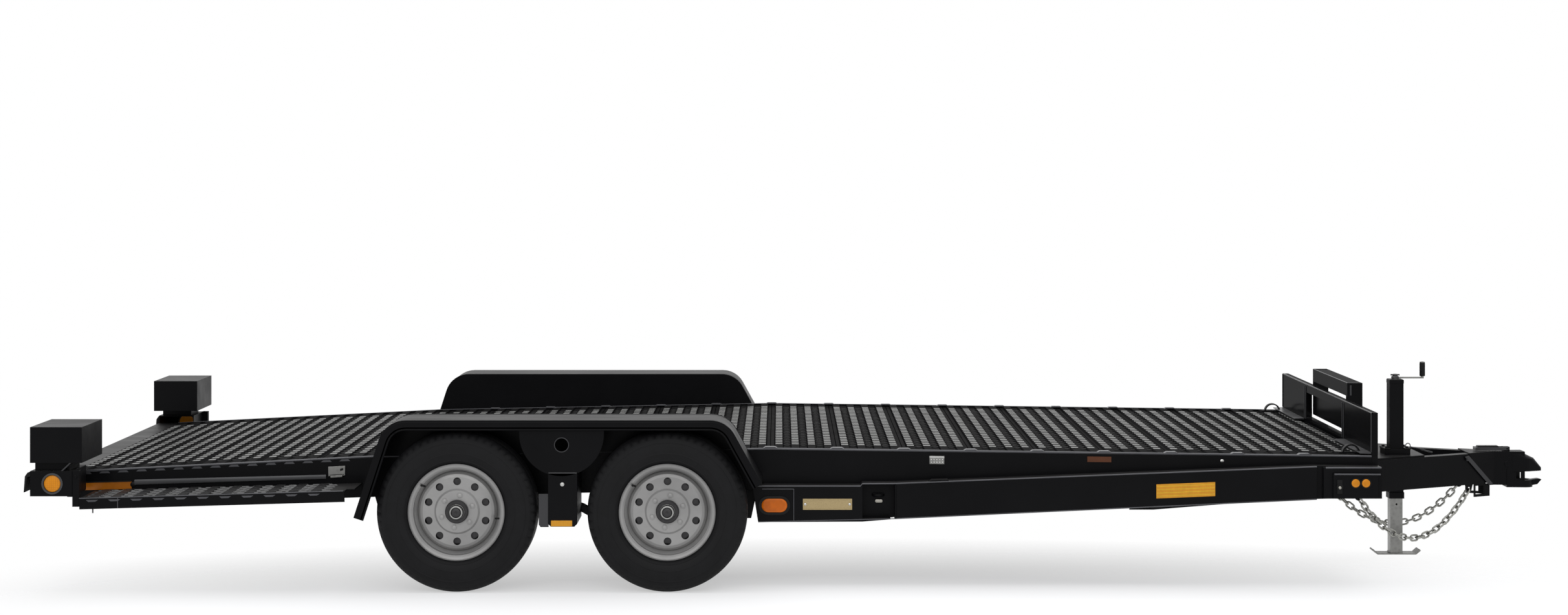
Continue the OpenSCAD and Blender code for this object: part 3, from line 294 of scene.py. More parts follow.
class Solids:
    """Several closed solids gathered into one piece."""

    def __init__(self):
        self.verts = []
        self.faces = []

    def add(self, verts, faces):
        start = len(self.verts)
        self.verts += [Vector(v) for v in verts]
        self.faces += [[start + i for i in f] for f in faces]

    def loft(self, rings, closed=False):
        """Rings of equal length joined in turn, with flat ends unless the loft closes on itself."""
        n = len(rings[0])
        verts = [v for ring in rings for v in ring]
        faces = []
        count = len(rings)
        for i in range(count if closed else count - 1):
            j = (i + 1) % count
            faces += [[i * n + k, i * n + (k + 1) % n, j * n + (k + 1) % n, j * n + k] for k in range(n)]
        if not closed:
            faces += [list(range(n))[::-1], [(count - 1) * n + k for k in range(n)]]
        self.add(verts, faces)

    def box(self, a, b, cut=0.0):
        """A box from its lowest to its highest corner, with its top edges cut back."""
        (x0, y0, z0), (x1, y1, z1) = a, b
        rings = [[(x0, y0, z0), (x1, y0, z0), (x1, y1, z0), (x0, y1, z0)]]
        if cut:
            rings.append([(x0, y0, z1 - cut), (x1, y0, z1 - cut), (x1, y1, z1 - cut), (x0, y1, z1 - cut)])
        c = cut
        rings.append([(x0 + c, y0 + c, z1), (x1 - c, y0 + c, z1), (x1 - c, y1 - c, z1), (x0 + c, y1 - c, z1)])
        self.loft(rings)

    def prism(self, outline, y0, y1):
        """An outline of X and Z, from y0 to y1."""
        self.loft([[(x, y0, z) for x, z in outline], [(x, y1, z) for x, z in outline]])

    def rod(self, points, r, n=10, closed=False):
        """A round rod along points."""
        pts = [Vector(p) for p in points]
        count = len(pts)
        rings = []
        normal = None
        for i, p in enumerate(pts):
            if closed:
                run = pts[(i + 1) % count] - pts[i - 1]
            else:
                run = pts[min(i + 1, count - 1)] - pts[max(i - 1, 0)]
            run.normalize()
            if normal is None:
                normal = run.orthogonal().normalized()
            normal = (normal - run * normal.dot(run)).normalized()
            other = run.cross(normal)
            rings.append([p + (normal * math.cos(t) + other * math.sin(t)) * r for t in turns(n)])
        self.loft(rings, closed)

    def lathe(self, profile, centre, axis, n=32):
        """A profile of (radius, height) turned about an axis; it may start and end at radius 0."""
        turn = Vector(axis).to_track_quat("Z", "Y").to_matrix()
        rings = []
        for r, h in profile:
            r = max(r, POINT_R)
            ring = [turn @ Vector((r * math.cos(t), r * math.sin(t), h)) for t in turns(n)]
            rings.append([Vector(centre) + v for v in ring])
        self.loft(rings)

    def bolt(self, centre, axis, r, h, washer=1.45):
        """A hexagon head on its washer."""
        self.lathe([(r * washer, 0), (r * washer, h * 0.22), (0, h * 0.22)], centre, axis, 20)
        self.lathe([(r, h * 0.2), (r, h * 0.9), (r * 0.86, h), (0, h)], centre, axis, 6)

    def done(self, name, material, body="chassis", smooth=40, bevel=0.0):
        mesh = bpy.data.meshes.new(name)
        mesh.from_pydata(self.verts, [], self.faces)
        b = bmesh.new()
        b.from_mesh(mesh)
        bmesh.ops.remove_doubles(b, verts=b.verts, dist=MERGE)
        bmesh.ops.recalc_face_normals(b, faces=b.faces)
        b.to_mesh(mesh)
        b.free()
        mesh.validate()
        obj = bpy.data.objects.new(name, mesh)
        scene.collection.objects.link(obj)
        mesh.materials.append(material)
        if smooth:
            mesh.shade_smooth()
            mesh.set_sharp_from_angle(angle=math.radians(smooth))
        if bevel:
            mod = obj.modifiers.new("edges", "BEVEL")
            mod.width = bevel
            mod.segments = 2
            mod.limit_method = "ANGLE"
        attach(obj, body)
        return obj


def batch(n):
    """New empty pieces, filled side by side."""
    return [Solids() for _ in range(n)]


def turns(n, start=0.0):
    return [start + 2 * math.pi * i / n for i in range(n)]


def lerp(a, b, t):
    return a + (b - a) * t


def outward(s, a, b):
    """The Y of a and b on the side s, lowest first."""
    return sorted((s * a, s * b))


def circle(cx, cz, r, n=32):
    """Outline of a circle in X and Z."""
    return [(cx + r * math.cos(t), cz + r * math.sin(t)) for t in turns(n)]


def oval(cx, cz, half, r, n=9):
    """Outline of an oval in X and Z."""
    arc = [math.pi * (i / n - 0.5) for i in range(n + 1)]
    right = [(cx + half + r * math.cos(t), cz + r * math.sin(t)) for t in arc]
    left = [(cx - half - r * math.cos(t), cz - r * math.sin(t)) for t in arc]
    return right + left


def ring_plate(target, outer, inner, y0, y1):
    """A flat ring between two outlines of equal length."""
    rings = [[(x, y0, z) for x, z in outer], [(x, y1, z) for x, z in outer],
             [(x, y1, z) for x, z in inner], [(x, y0, z) for x, z in inner]]
    target.loft(rings, closed=True)


def slab(target, s, a, b, height, y, thick):
    """A plate on the side s, with its middle line from a to b in X and Z, and thick outward from y."""
    (x0, z0), (x1, z1), h = a, b, height / 2
    target.prism([(x0, z0 - h), (x1, z1 - h), (x1, z1 + h), (x0, z0 + h)], *outward(s, y, y + thick))


def block(target, s, a, b, cut=0.0):
    """A box on the side s between two corners, whose Y is counted outward."""
    corners = (a[0], s * a[1], a[2]), (b[0], s * b[1], b[2])
    target.box(*[Vector(map(f, *corners)) for f in (min, max)], cut)


def stud(target, s, x, y, z, profile, n=14):
    """A turned head at y on the side s, whose axis points outward."""
    target.lathe(profile, (x, s * y, z), (0, s, 0), n)


def dome(target, s, outline, y, thick):
    """A lens with a rounded face over an outline of X and Z."""
    cx = sum(x for x, _ in outline) / len(outline)
    cz = sum(z for _, z in outline) / len(outline)
    steps = ((1, 0), (1, 0.5), (0.95, 0.78), (0.8, 0.93), (0.45, 1), (0.02, 1))
    rings = []
    for f, h in steps:
        rings.append([(lerp(cx, x, f), s * (y + thick * h), lerp(cz, z, f)) for x, z in outline])
    target.loft(rings)


# Stations of the frame

rail_lo, rail_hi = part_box("deck_rails")
head_lo, head_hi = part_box("headboard")
stand_lo, stand_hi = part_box("winch_stand")
ledge_lo, ledge_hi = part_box("side_ledges")
beam_lo, beam_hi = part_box("side_beams")
lamp_lo, lamp_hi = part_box("side_lamp_boxes")
tube_lo, tube_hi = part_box("jack_tube")
bumper_lo, bumper_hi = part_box("rear_bumper")
_, housing_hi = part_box("rear_housings")
plate_lo, plate_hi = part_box("tongue_plate")
latch_lo, latch_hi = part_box("coupler_latch")
_, coupler_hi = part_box("coupler_body")

# Gap between a flat piece and the surface that it lies on
SKIN = 0.0003
DECK_X1 = head_hi.x
DECK_X0 = bumper_lo.x
RAIL_Y = rail_hi.y
PEAK = (DECK_X1 - 2.664, 0.593)
KINK = (DECK_X1 - 4.374, 0.560)
ENDS = ((DECK_X0, 0.487), KINK, PEAK, (DECK_X1, 0.559))


def deck_z(x):
    for (xa, za), (xb, zb) in zip(ENDS, ENDS[1:]):
        if x <= xb:
            return lerp(za, zb, (x - xa) / (xb - xa))
    return ENDS[-1][1]


def back(d):
    """X of a point d behind the headboard's front face."""
    return DECK_X1 - d


# Deck tread

PLANK_GAP, RIBS, RIB_W, RIB_H, PLANK_W = 0.003, 4, 0.034, 0.008, 0.29
PAD_PITCH, PAD_L, PAD_H, PAD_EDGE = 0.07, 0.036, 0.002, 0.15
PAD_SINK, PAD_IN, PAD_CUT = 0.0005, 0.001, 0.0022
SCALLOP_LOW = -RIB_H - 0.0004
SCALLOP_TOP = SCALLOP_LOW + 0.0045
SCALLOP_ARC = ((-0.016, 0.008), (-0.008, -0.004), (0, -0.008), (0.008, -0.004), (0.016, 0.008))
pads, scallops = batch(2)
plank_joints = []
RUNS = (
    ((rail_lo.x, deck_z(rail_lo.x)), KINK),
    (KINK, PEAK),
    (PEAK, (rail_hi.x, deck_z(rail_hi.x))),
)
for a, b in RUNS:
    length = math.dist(a, b)
    count = round(length / PLANK_W)
    pitch = length / count
    ux, uz = (b[0] - a[0]) / length, (b[1] - a[1]) / length

    def place(s, y, h):
        return (a[0] + ux * s - uz * h, y, a[1] + uz * s + ux * h)

    rows = int((2 * (RAIL_Y - PAD_EDGE)) / PAD_PITCH)
    for i in range(count):
        plank_joints.append(place(i * pitch, 0, 0))
        width = pitch - PLANK_GAP
        for k in range(RIBS):
            s = i * pitch + PLANK_GAP / 2 + width * (k + 0.5) / RIBS
            valley = s + width / RIBS / 2
            for j in range(rows + 1):
                y = (j - rows / 2) * PAD_PITCH
                w, l, c = RIB_W / 2 - PAD_IN, PAD_L / 2, PAD_CUT
                low = [place(s - w, y - l, -PAD_SINK), place(s + w, y - l, -PAD_SINK),
                       place(s + w, y + l, -PAD_SINK), place(s - w, y + l, -PAD_SINK)]
                far_y, far_h = y + l - c * 3, PAD_H * 0.5
                top = [place(s - w + c, y - l + c, PAD_H), place(s + w - c, y - l + c, PAD_H),
                       place(s + w - c, far_y, far_h), place(s - w + c, far_y, far_h)]
                pads.loft([low, top])
                if k == RIBS - 1:
                    continue
                rings = []
                for dx, dy in SCALLOP_ARC:
                    at, mid = valley + dx, y + dy
                    rings.append([place(at, mid - 0.007, SCALLOP_LOW), place(at, mid + 0.007, SCALLOP_LOW),
                                  place(at, mid + 0.004, SCALLOP_TOP), place(at, mid - 0.002, SCALLOP_TOP)])
                scallops.loft(rings)
pads.done("deck_tread_pads", PAD, smooth=0)
scallops.done("deck_tread_scallops", SCALLOP, smooth=0)

# Rounded lip on each rail's top edge, and the small tabs at the plank joints, in the painted-highlight grey
lips, tabs, slots = batch(3)
LIP_R, TABS_FROM, LOUVRE_PITCH = 0.005, 0.2, 0.081
for _, s in SIDES:
    for xa, xb in ((rail_lo.x, KINK[0]), (KINK[0], PEAK[0]), (PEAK[0], rail_hi.x)):
        line = [(x, s * (RAIL_Y - 0.0005), deck_z(x) - 0.003) for x in (xa, (xa + xb) / 2, xb)]
        lips.rod(line, LIP_R, 8)
    for x, _, z in plank_joints:
        if x > KINK[0] + TABS_FROM:
            low, high = z + 0.0005, z + 0.006
            tabs.prism([(x - 0.03, low), (x + 0.03, low), (x + 0.02, high), (x - 0.02, high)],
                       *outward(s, RAIL_Y - 0.03, RAIL_Y + 0.003))
    x = rail_lo.x + 0.06
    while x < back(4.45):
        z = deck_z(x) - 0.017
        outline = [(x - 0.024, z), (x + 0.024, z + 0.0012), (x + 0.016, z + 0.01), (x - 0.014, z + 0.0085)]
        slots.prism(outline, *outward(s, RAIL_Y - 0.001, RAIL_Y + 0.002))
        x += LOUVRE_PITCH
lips.done("rail_lips", EDGE)
tabs.done("plank_tabs", EDGE)
slots.done("rail_louvres", EDGE)

# Side ledges

ledge_tread, ledge_marks, ledge_seams = batch(3)
LEDGE_LOW, LEDGE_RISE, LEDGE_PITCH, LEDGE_ROWS = 0.408, 0.033, 0.052, 8
ROW_PITCH, LUG_L, LUG_HALF, MARK_PITCH = 0.03, 0.04, 0.009, 0.095
SEAM_X, HOOK_X = back(5.46), back(5.57)
ledge_len = ledge_hi.x - ledge_lo.x


def ledge_z(x):
    return LEDGE_LOW + LEDGE_RISE * (x - ledge_lo.x) / ledge_len


for _, s in SIDES:
    columns = int((ledge_len - 0.09) / LEDGE_PITCH)
    for i in range(columns):
        for j in range(LEDGE_ROWS):
            x = ledge_lo.x + 0.02 + LEDGE_PITCH * (i + (0.5 if j % 2 else 0))
            cy = s * (RAIL_Y + ROW_PITCH + ROW_PITCH * j)
            z = ledge_z(x) + SKIN
            ledge_tread.loft([
                [(x, cy - LUG_HALF, z - 0.001), (x + LUG_L, cy - LUG_HALF, z),
                 (x + LUG_L, cy + LUG_HALF, z), (x, cy + LUG_HALF, z - 0.001)],
                [(x + 0.006, cy - 0.004, z + 0.004), (x + 0.034, cy - 0.004, z + 0.005),
                 (x + 0.034, cy + 0.003, z + 0.004), (x + 0.006, cy + 0.003, z + 0.003)],
            ])
    x = ledge_lo.x + 0.04
    while x < ledge_hi.x - 0.12:
        z = ledge_z(x) - 0.007
        ledge_marks.prism([(x, z - 0.009), (x + 0.03, z - 0.008), (x + 0.042, z), (x - 0.01, z - 0.001)],
                          *outward(s, ledge_hi.y - 0.001, ledge_hi.y + 0.002))
        x += MARK_PITCH
    ledge_seams.prism([(SEAM_X, 0.366), (SEAM_X + 0.003, 0.366), (SEAM_X + 0.003, 0.41), (SEAM_X, 0.41)],
                      *outward(s, ledge_hi.y, ledge_hi.y + 0.0015))
    ledge_seams.rod([(HOOK_X, s * 1.27, 0.362), (HOOK_X, s * 1.27, 0.343)], 0.003, 8)
    seam = [(x, s * (ledge_hi.y - 0.001), ledge_z(x)) for x in (ledge_lo.x, ledge_hi.x - 0.04)]
    ledge_seams.rod(seam, 0.0025, 6)
ledge_tread.done("ledge_tread", LEDGE_PAD, smooth=0)
ledge_marks.done("ledge_louvres", EDGE)
ledge_seams.done("ledge_seams", EDGE)

# Side lamp boxes, beams and front corners

BEAM_Y = lamp_hi.y
FACE = 0.0015
BEAM_X1, RECESS_X0, PANEL_X1 = back(0.284), back(2.263), back(2.562)
BOX_TOP, BEAM_TOP0, BEAM_TOP1 = 0.4365, 0.4478, 0.521
BEAM_LOW0, BEAM_LOW1 = 0.2955, 0.3795
OVAL_X, OVAL_Z, OVAL_HALF = back(2.646), 0.353, 0.026
lines, bezels, plates, rivets, hooks, welds = batch(6)
small_lens, big_lens, oval_lens, rims = batch(4)
SIDE_Y = housing_hi.y
FRONT_LAMPS, FRONT_LAMP_Z = (back(0.118), back(0.073)), 0.451
CORNER_LAMP = (DECK_X0 + 0.095, 0.471)
BARE_PLATE = (back(2.415), 0.358, 0.107, 0.024)

for _, s in SIDES:
    y = s * BEAM_Y
    near = s * (BEAM_Y + FACE)
    ring_plate(bezels, oval(OVAL_X, OVAL_Z, 0.028, 0.041), oval(OVAL_X, OVAL_Z, OVAL_HALF, 0.0305),
               y, s * (BEAM_Y + 0.006))
    # Panel lines round the lamp, drawn in the painted-highlight grey
    lines.rod([(back(2.70), near, 0.424), (PANEL_X1, near, 0.424)], 0.0018, 6)
    lines.rod([(PANEL_X1, near, 0.424), (PANEL_X1, near, 0.283)], 0.0018, 6)
    # Lit top edges
    lines.rod([(lamp_lo.x + 0.004, y, BOX_TOP), (back(2.272), y, BOX_TOP), (RECESS_X0, y, 0.447),
               (beam_lo.x, y, BEAM_TOP0)], 0.003, 8)
    lines.rod([(beam_lo.x, y, BEAM_TOP0), (BEAM_X1, y, BEAM_TOP1)], 0.003, 8)
    lines.rod([(beam_lo.x, y, BEAM_LOW0), (BEAM_X1, y, BEAM_LOW1)], 0.0025, 8)
    lines.rod([(lamp_lo.x + 0.026, y, 0.281), (beam_lo.x, y, 0.295)], 0.002, 8)
    # Bare plate with a raised rim and two rivets
    cx, cz, w, h = BARE_PLATE
    frames = [[(cx - w + d, cz - h + d), (cx + w - d, cz - h + d), (cx + w - d, cz + h - d),
               (cx - w + d, cz + h - d)] for d in (0.0, 0.004)]
    ring_plate(plates, *frames, y + s * 0.002, y + s * 0.0038)
    for side in (-1, 1):
        stud(rivets, s, cx + side * 0.097, BEAM_Y + 0.0028, cz,
             [(0.006, 0), (0.0055, 0.0015), (0.003, 0.0028), (0, 0.003)])
    # Weld seam round the recess and the bolt head behind the bar
    x0, x1 = RECESS_X0, beam_lo.x - 0.008
    welds.rod([(x1 + 0.003, y, 0.295), (x1 + 0.003, y, 0.446)], 0.003, 8)
    dome(hooks, s, oval((x0 + x1) / 2 + 0.003, 0.365, 0.009, 0.008), BEAM_Y - 0.057, 0.006)
    # Pad on the beam's top
    px = back(1.93)
    z = 0.449 + 0.073 * (px - beam_lo.x) / (BEAM_X1 - beam_lo.x)
    welds.prism([(px - 0.045, z - 0.002), (px + 0.045, z + 0.001), (px + 0.04, z + 0.008),
                 (px - 0.03, z + 0.006)], *outward(s, BEAM_Y - 0.05, BEAM_Y + 0.001))
    # Front corner box: lips, lamp rings and latch; the lips are rods in the painted-highlight grey
    front_y = BEAM_Y + 0.012
    fy = s * front_y
    lines.rod([(back(0.245), y, 0.516), (beam_hi.x - 0.003, y, 0.516)], 0.004, 8)
    lines.rod([(back(0.21), fy, 0.4895), (beam_hi.x - 0.009, fy, 0.4885)], 0.0035, 8)
    cx = back(0.187)
    bezels.prism(oval(cx, 0.435, 0.0, 0.014), *outward(s, front_y, front_y + 0.006))
    bezels.prism([(cx - 0.011, 0.405), (cx + 0.011, 0.405), (cx + 0.011, 0.466), (cx - 0.011, 0.466)],
                 *outward(s, front_y, front_y + 0.004))
    stud(hooks, s, cx, front_y + 0.0055, 0.432, [(0.007, 0), (0.0065, 0.003), (0.003, 0.005), (0, 0.0055)])
    # Round lamps on the front corner and the rear housing, and the oval one on the lamp box
    for lx in FRONT_LAMPS:
        dome(small_lens, s, circle(lx, FRONT_LAMP_Z, 0.018), BEAM_Y + 0.0122, 0.0085)
        ring_plate(bezels, circle(lx, FRONT_LAMP_Z, 0.0228), circle(lx, FRONT_LAMP_Z, 0.0185),
                   fy, fy + s * 0.005)
    dome(big_lens, s, circle(*CORNER_LAMP, 0.037), SIDE_Y - 0.014, 0.0165)
    ring_plate(rims, circle(*CORNER_LAMP, 0.0455), circle(*CORNER_LAMP, 0.0375),
               s * (SIDE_Y - 0.012), s * (SIDE_Y + 0.0035))
    dome(oval_lens, s, oval(OVAL_X, OVAL_Z, OVAL_HALF, 0.030), BEAM_Y + SKIN, 0.008)
lines.done("side_edge_lines", EDGE)
bezels.done("lamp_surrounds", DARK)
rims.done("corner_lamp_rims", LEDGE_GREY)
for piece in (small_lens.done("front_corner_lenses", GLOW), big_lens.done("rear_corner_lenses", GLOW),
              oval_lens.done("oval_lenses", AMBER)):
    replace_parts(piece, "amber_lamps")
plates.done("plate_rims", BRASS)
rivets.done("plate_rivets", BRIGHT)
welds.done("side_welds", BLACK)
hooks.done("side_bolt_heads", BARE)

# Reflectors and fittings on the rails' sides
AXLE_X = back(3.559)
FENDER_REAR, FENDER_FRONT, FENDER_TOP = 0.89, 0.86, 0.742
FENDER_X0 = AXLE_X - FENDER_REAR
BEAM_SLOPE = 0.0399
STRIP_BACK, STRIP_HALF, STRIP_DROP = 1.222, 0.0525, 0.0305
PATCH_BACK, PATCH_HALF, PATCH_DROP = 1.934, 0.0325, 0.0425
ORANGE_X, ORANGE_RISE = (DECK_X0 + 0.166, DECK_X0 + 0.37), 0.0185
GUIDE_X, GUIDE_RISE = (DECK_X0 + 0.383, back(4.611)), 0.0315
LATCH_X, LATCH_DROP = (FENDER_X0 - 0.152, FENDER_X0 - 0.078), 0.06
RAIL_BOLT_BACK = 0.6835
BAR_SECTION = ((SKIN, -0.011), (0.008, -0.011), (0.011, -0.005), (0.011, 0.006), (0.008, 0.011),
               (SKIN, 0.011))
yellow, stripes, amber_strip, orange, dark_bits = batch(5)
bare, silver_bits, bar, light_bits = batch(4)
for _, s in SIDES:
    # Yellow reflector on the beam, with raised stripes
    cx, cz, w = back(0.855), 0.419, 0.128
    ends = [(cx - w, cz - w * BEAM_SLOPE), (cx + w, cz + w * BEAM_SLOPE)]
    slab(yellow, s, *ends, 0.061, BEAM_Y + SKIN, 0.003)
    for k in (-0.021, -0.007, 0.007, 0.021):
        slab(stripes, s, *[(x * 0.985 + cx * 0.015, z + k) for x, z in ends], 0.0035, BEAM_Y + 0.003, 0.0012)
    # Amber strip and patterned pad on the front rail
    a, b = back(STRIP_BACK + STRIP_HALF), back(STRIP_BACK - STRIP_HALF)
    slab(amber_strip, s, (a, deck_z(a) - STRIP_DROP), (b, deck_z(b) - STRIP_DROP), 0.024,
         RAIL_Y + SKIN, 0.004)
    a, b = back(PATCH_BACK + PATCH_HALF), back(PATCH_BACK - PATCH_HALF)
    za, zb = deck_z(a) - PATCH_DROP, deck_z(b) - PATCH_DROP
    slab(silver_bits, s, (a, za), (b, zb), 0.036, RAIL_Y + SKIN, 0.005)
    slab(light_bits, s, (a, za + 0.013), (b, zb + 0.013), 0.008, RAIL_Y + 0.005, 0.0015)
    for i in range(5):
        for j in range(2):
            stud(light_bits, s, a + 0.008 + i * 0.0123, RAIL_Y + 0.0052, za + 0.001 - j * 0.012,
                 [(0.0042, 0), (0.003, 0.0012), (0, 0.0014)], 10)
    # Orange reflector above the ledge's rear end, under a dark band
    a, b = ORANGE_X
    za, zb = ledge_z(a) + ORANGE_RISE, ledge_z(b) + ORANGE_RISE
    slab(orange, s, (a, za), (b, zb), 0.032, RAIL_Y + SKIN, 0.004)
    slab(dark_bits, s, (a, za + ORANGE_RISE), (b, zb + ORANGE_RISE), 0.005, RAIL_Y + SKIN, 0.0065)
    stud(dark_bits, s, b + 0.006, RAIL_Y + SKIN, zb + 0.003,
         [(0.012, 0), (0.012, 0.004), (0.009, 0.006), (0, 0.006)], 20)
    # Guide bar above the ledge
    a, b = GUIDE_X
    bar.loft([[(x, s * (RAIL_Y + y), ledge_z(x) + GUIDE_RISE + z * k) for y, z in BAR_SECTION]
              for x, k in ((a, 1.0), (b, 0.8))])
    # Latch plate with its slot and a lower tab; the slot and a line above the tab are thin dark sheets,
    # painted shade
    a, b = LATCH_X
    za, zb = deck_z(a) - LATCH_DROP, deck_z(b) - LATCH_DROP
    slab(silver_bits, s, (a, za + 0.003), (b, zb + 0.003), 0.042, RAIL_Y + SKIN, 0.011)
    slab(silver_bits, s, (a + 0.01, za - 0.021), (b - 0.012, zb - 0.021), 0.008, RAIL_Y + SKIN, 0.013)
    slab(dark_bits, s, (a + 0.008, za - 0.013), (b - 0.004, zb - 0.013), 0.003, RAIL_Y + 0.0105, 0.0012)
    slab(dark_bits, s, (a + 0.052, za + 0.01), (b - 0.008, zb + 0.01), 0.01, RAIL_Y + 0.0105, 0.0012)
    # Bare plate on the lamp box
    cx, cz, w, h = BARE_PLATE
    slab(bare, s, (cx - w, cz), (cx + w, cz), h * 2, BEAM_Y + SKIN, 0.002)
    # Round bolt on the front rail
    x = back(RAIL_BOLT_BACK)
    stud(light_bits, s, x, RAIL_Y, deck_z(x) - 0.031,
         [(0.0085, 0), (0.008, 0.003), (0.004, 0.005), (0, 0.005)], 16)
for solids, name, look in ((yellow, "beam_reflectors", YELLOW), (stripes, "reflector_stripes", STRIPE),
                           (amber_strip, "rail_reflectors", DIM_AMBER), (orange, "rear_reflectors", ORANGE)):
    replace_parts(solids.done(name, look), "reflectors")
for solids, name, look in ((bare, "bare_plates", BRASS), (silver_bits, "latch_plates", ZINC),
                           (bar, "guide_bars", BAR_GREY)):
    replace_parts(solids.done(name, look, bevel=0.0008), "side_fittings")
dark_bits.done("dark_fittings_and_slot_shade", DARK)
light_bits.done("fitting_studs", BRIGHT)

# Wheels

SEGMENTS, NOTCH_EVERY, NOTCH_IN, NOTCH_SIDE = 232, 4, 0.003, 0.005
LUG_COUNT, LUG_TURN, LUG_CIRCLE, LUG_Y = 6, 0.35, 0.06985, 0.0578
STEM_TURN, WEIGHT_TURN = math.radians(142), math.radians(-9)
CAP_Y, WEIGHT_HALF = 0.0955, Vector((0.012, 0.004, 0.0035))
GROOVES = (0.014, 0.042)
TREAD_R, GROOVE_R = 0.3445, 0.3375
half = [(TREAD_R, 0.0)]
for g in GROOVES:
    half += [(TREAD_R, g - 0.0042), (GROOVE_R, g - 0.0035), (GROOVE_R, g + 0.0035), (0.3444, g + 0.0042)]
half += [(0.3440, 0.0600), (0.3425, 0.0705)]
shoulder_from = len(half)
half += [(0.3385, 0.0805), (0.3290, 0.0900)]
shoulder_to = len(half)
half += [
    (0.3180, 0.0955), (0.3165, 0.0965), (0.3145, 0.0960), (0.3000, 0.0992), (0.2990, 0.1004),
    (0.2965, 0.1008), (0.2952, 0.1002), (0.2850, 0.1015), (0.2620, 0.1020), (0.2560, 0.1017),
    (0.2550, 0.1023), (0.2530, 0.1023), (0.2520, 0.1014), (0.2400, 0.0998), (0.2260, 0.0950),
    (0.2235, 0.0958), (0.2210, 0.0935), (0.2150, 0.0880), (0.2105, 0.0825), (0.2030, 0.0790),
    (0.1962, 0.0752), (0.1910, 0.0690), (0.1910, 0.0560), (0.2045, 0.0580), (0.2280, 0.0845),
    (0.2680, 0.0935), (0.3145, 0.0805), (0.3305, 0.0525),
]
profile = half + [(r, -h) for r, h in half[:0:-1]]


def tyre(centre, s):
    """The tyre's rubber, with notches across both shoulders."""
    t = Solids()
    rings = []
    for i, a in enumerate(turns(SEGMENTS)):
        ring = []
        for k, (r, h) in enumerate(profile):
            mirrored = k >= len(half)
            j = len(profile) - k if mirrored else k
            if i % NOTCH_EVERY == 0 and shoulder_from <= j < shoulder_to:
                r -= NOTCH_IN
                h -= NOTCH_SIDE * (1 if h > 0 else -1)
            ring.append((centre.x + r * math.cos(a), centre.y + s * h, centre.z + r * math.sin(a)))
        rings.append(ring)
    t.loft(rings, closed=True)
    return t


for end in ("front", "rear"):
    for side, s in SIDES:
        key = f"{end}_{side}"
        body = f"{key}_wheel"
        lo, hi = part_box(f"tyre_{key}")
        c = (lo + hi) / 2
        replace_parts(tyre(c, s).done(f"tread_tyre_{key}", TYRE, body, smooth=32), f"tyre_{key}")
        nuts, cap, plug, stems, drum = batch(5)
        out = (0, s, 0)
        drum.lathe([(0.06, 0.032), (0.158, 0.032), (0.164, 0.026), (0.164, 0.012), (0.167, 0.009),
                    (0.167, -0.004), (0.164, -0.007), (0.164, -0.034), (0.06, -0.034), (0.06, 0.032)],
                   c, out, 48)
        for a in turns(LUG_COUNT, LUG_TURN):
            p = (c.x + LUG_CIRCLE * math.cos(a), c.y + s * LUG_Y, c.z + LUG_CIRCLE * math.sin(a))
            nuts.lathe([(0.0125, 0), (0.0118, 0.0018), (0, 0.0018)], p, out, 20)
            nuts.lathe([(0.0095, 0), (0.0095, 0.0035), (0.0065, 0.0052), (0, 0.0052)], p, out, 6)
        top = (c.x, c.y + s * CAP_Y, c.z)
        cap.lathe([(0.0285, -0.004), (0.0285, 0.001), (0.0262, 0.003), (0.0225, 0.003), (0.0215, 0.0005),
                   (0, 0.0005)], top, out, 40)
        cap.lathe([(0.0335, -0.021), (0.0335, -0.0185), (0.0322, -0.017), (0, -0.017)], top, out, 40)
        plug.lathe([(0.0195, 0), (0.0193, 0.0035), (0.0165, 0.0052), (0.006, 0.0052), (0.004, 0.0035),
                    (0, 0.0035)], top, out, 32)
        a = STEM_TURN
        for *ends, w in (((0.176, 0.052), (0.187, 0.082), 0.0042), ((0.187, 0.082), (0.1885, 0.089), 0.0052)):
            line = [(c.x + r * math.cos(a), c.y + s * h, c.z + r * math.sin(a)) for r, h in ends]
            stems.rod(line, w, 10)
        if end == "rear":
            a = WEIGHT_TURN
            p = Vector((c.x + 0.178 * math.cos(a), c.y + s * 0.07, c.z + 0.178 * math.sin(a)))
            stems.box(p - WEIGHT_HALF, p + WEIGHT_HALF, 0.0015)
        nuts.done(f"lug_nuts_{key}", SILVER, body)
        cap.done(f"hub_cap_ring_{key}", CAP, body)
        plug.done(f"hub_plug_{key}", IRON, body)
        drum.done(f"brake_drum_{key}", DARK, body)
        stems.done(f"valve_stem_{key}", DARK, body)

# Fenders

HOLE_R, HOLE_Z = 0.0305, 0.635
FENDER_R = 0.12
REAR_A, FRONT_A = math.radians(18), math.radians(29)
REAR_Z, FRONT_Z = 0.325, 0.469
BRACKET_Y = 1.27


def fender_line(d, steps=10):
    """Points of X and Z along the fender's outer line, d inside it."""
    x0, x1, top = AXLE_X - FENDER_REAR, AXLE_X + FENDER_FRONT, FENDER_TOP
    cx0 = x0 + (top - REAR_Z) * math.tan(REAR_A) + FENDER_R * math.tan((math.pi / 2 - REAR_A) / 2)
    cx1 = x1 - (top - FRONT_Z) * math.tan(FRONT_A) - FENDER_R * math.tan((math.pi / 2 - FRONT_A) / 2)
    r, cz = FENDER_R - d, top - FENDER_R
    line = [(x0 + d * math.cos(REAR_A), REAR_Z - d * math.sin(REAR_A))]
    for cx, a, b in ((cx0, math.pi - REAR_A, math.pi / 2), (cx1, math.pi / 2, FRONT_A)):
        arc = [lerp(a, b, i / steps) for i in range(steps + 1)]
        line += [(cx + r * math.cos(t), cz + r * math.sin(t)) for t in arc]
    return line + [(x1 - d * math.cos(FRONT_A), FRONT_Z - d * math.sin(FRONT_A))]


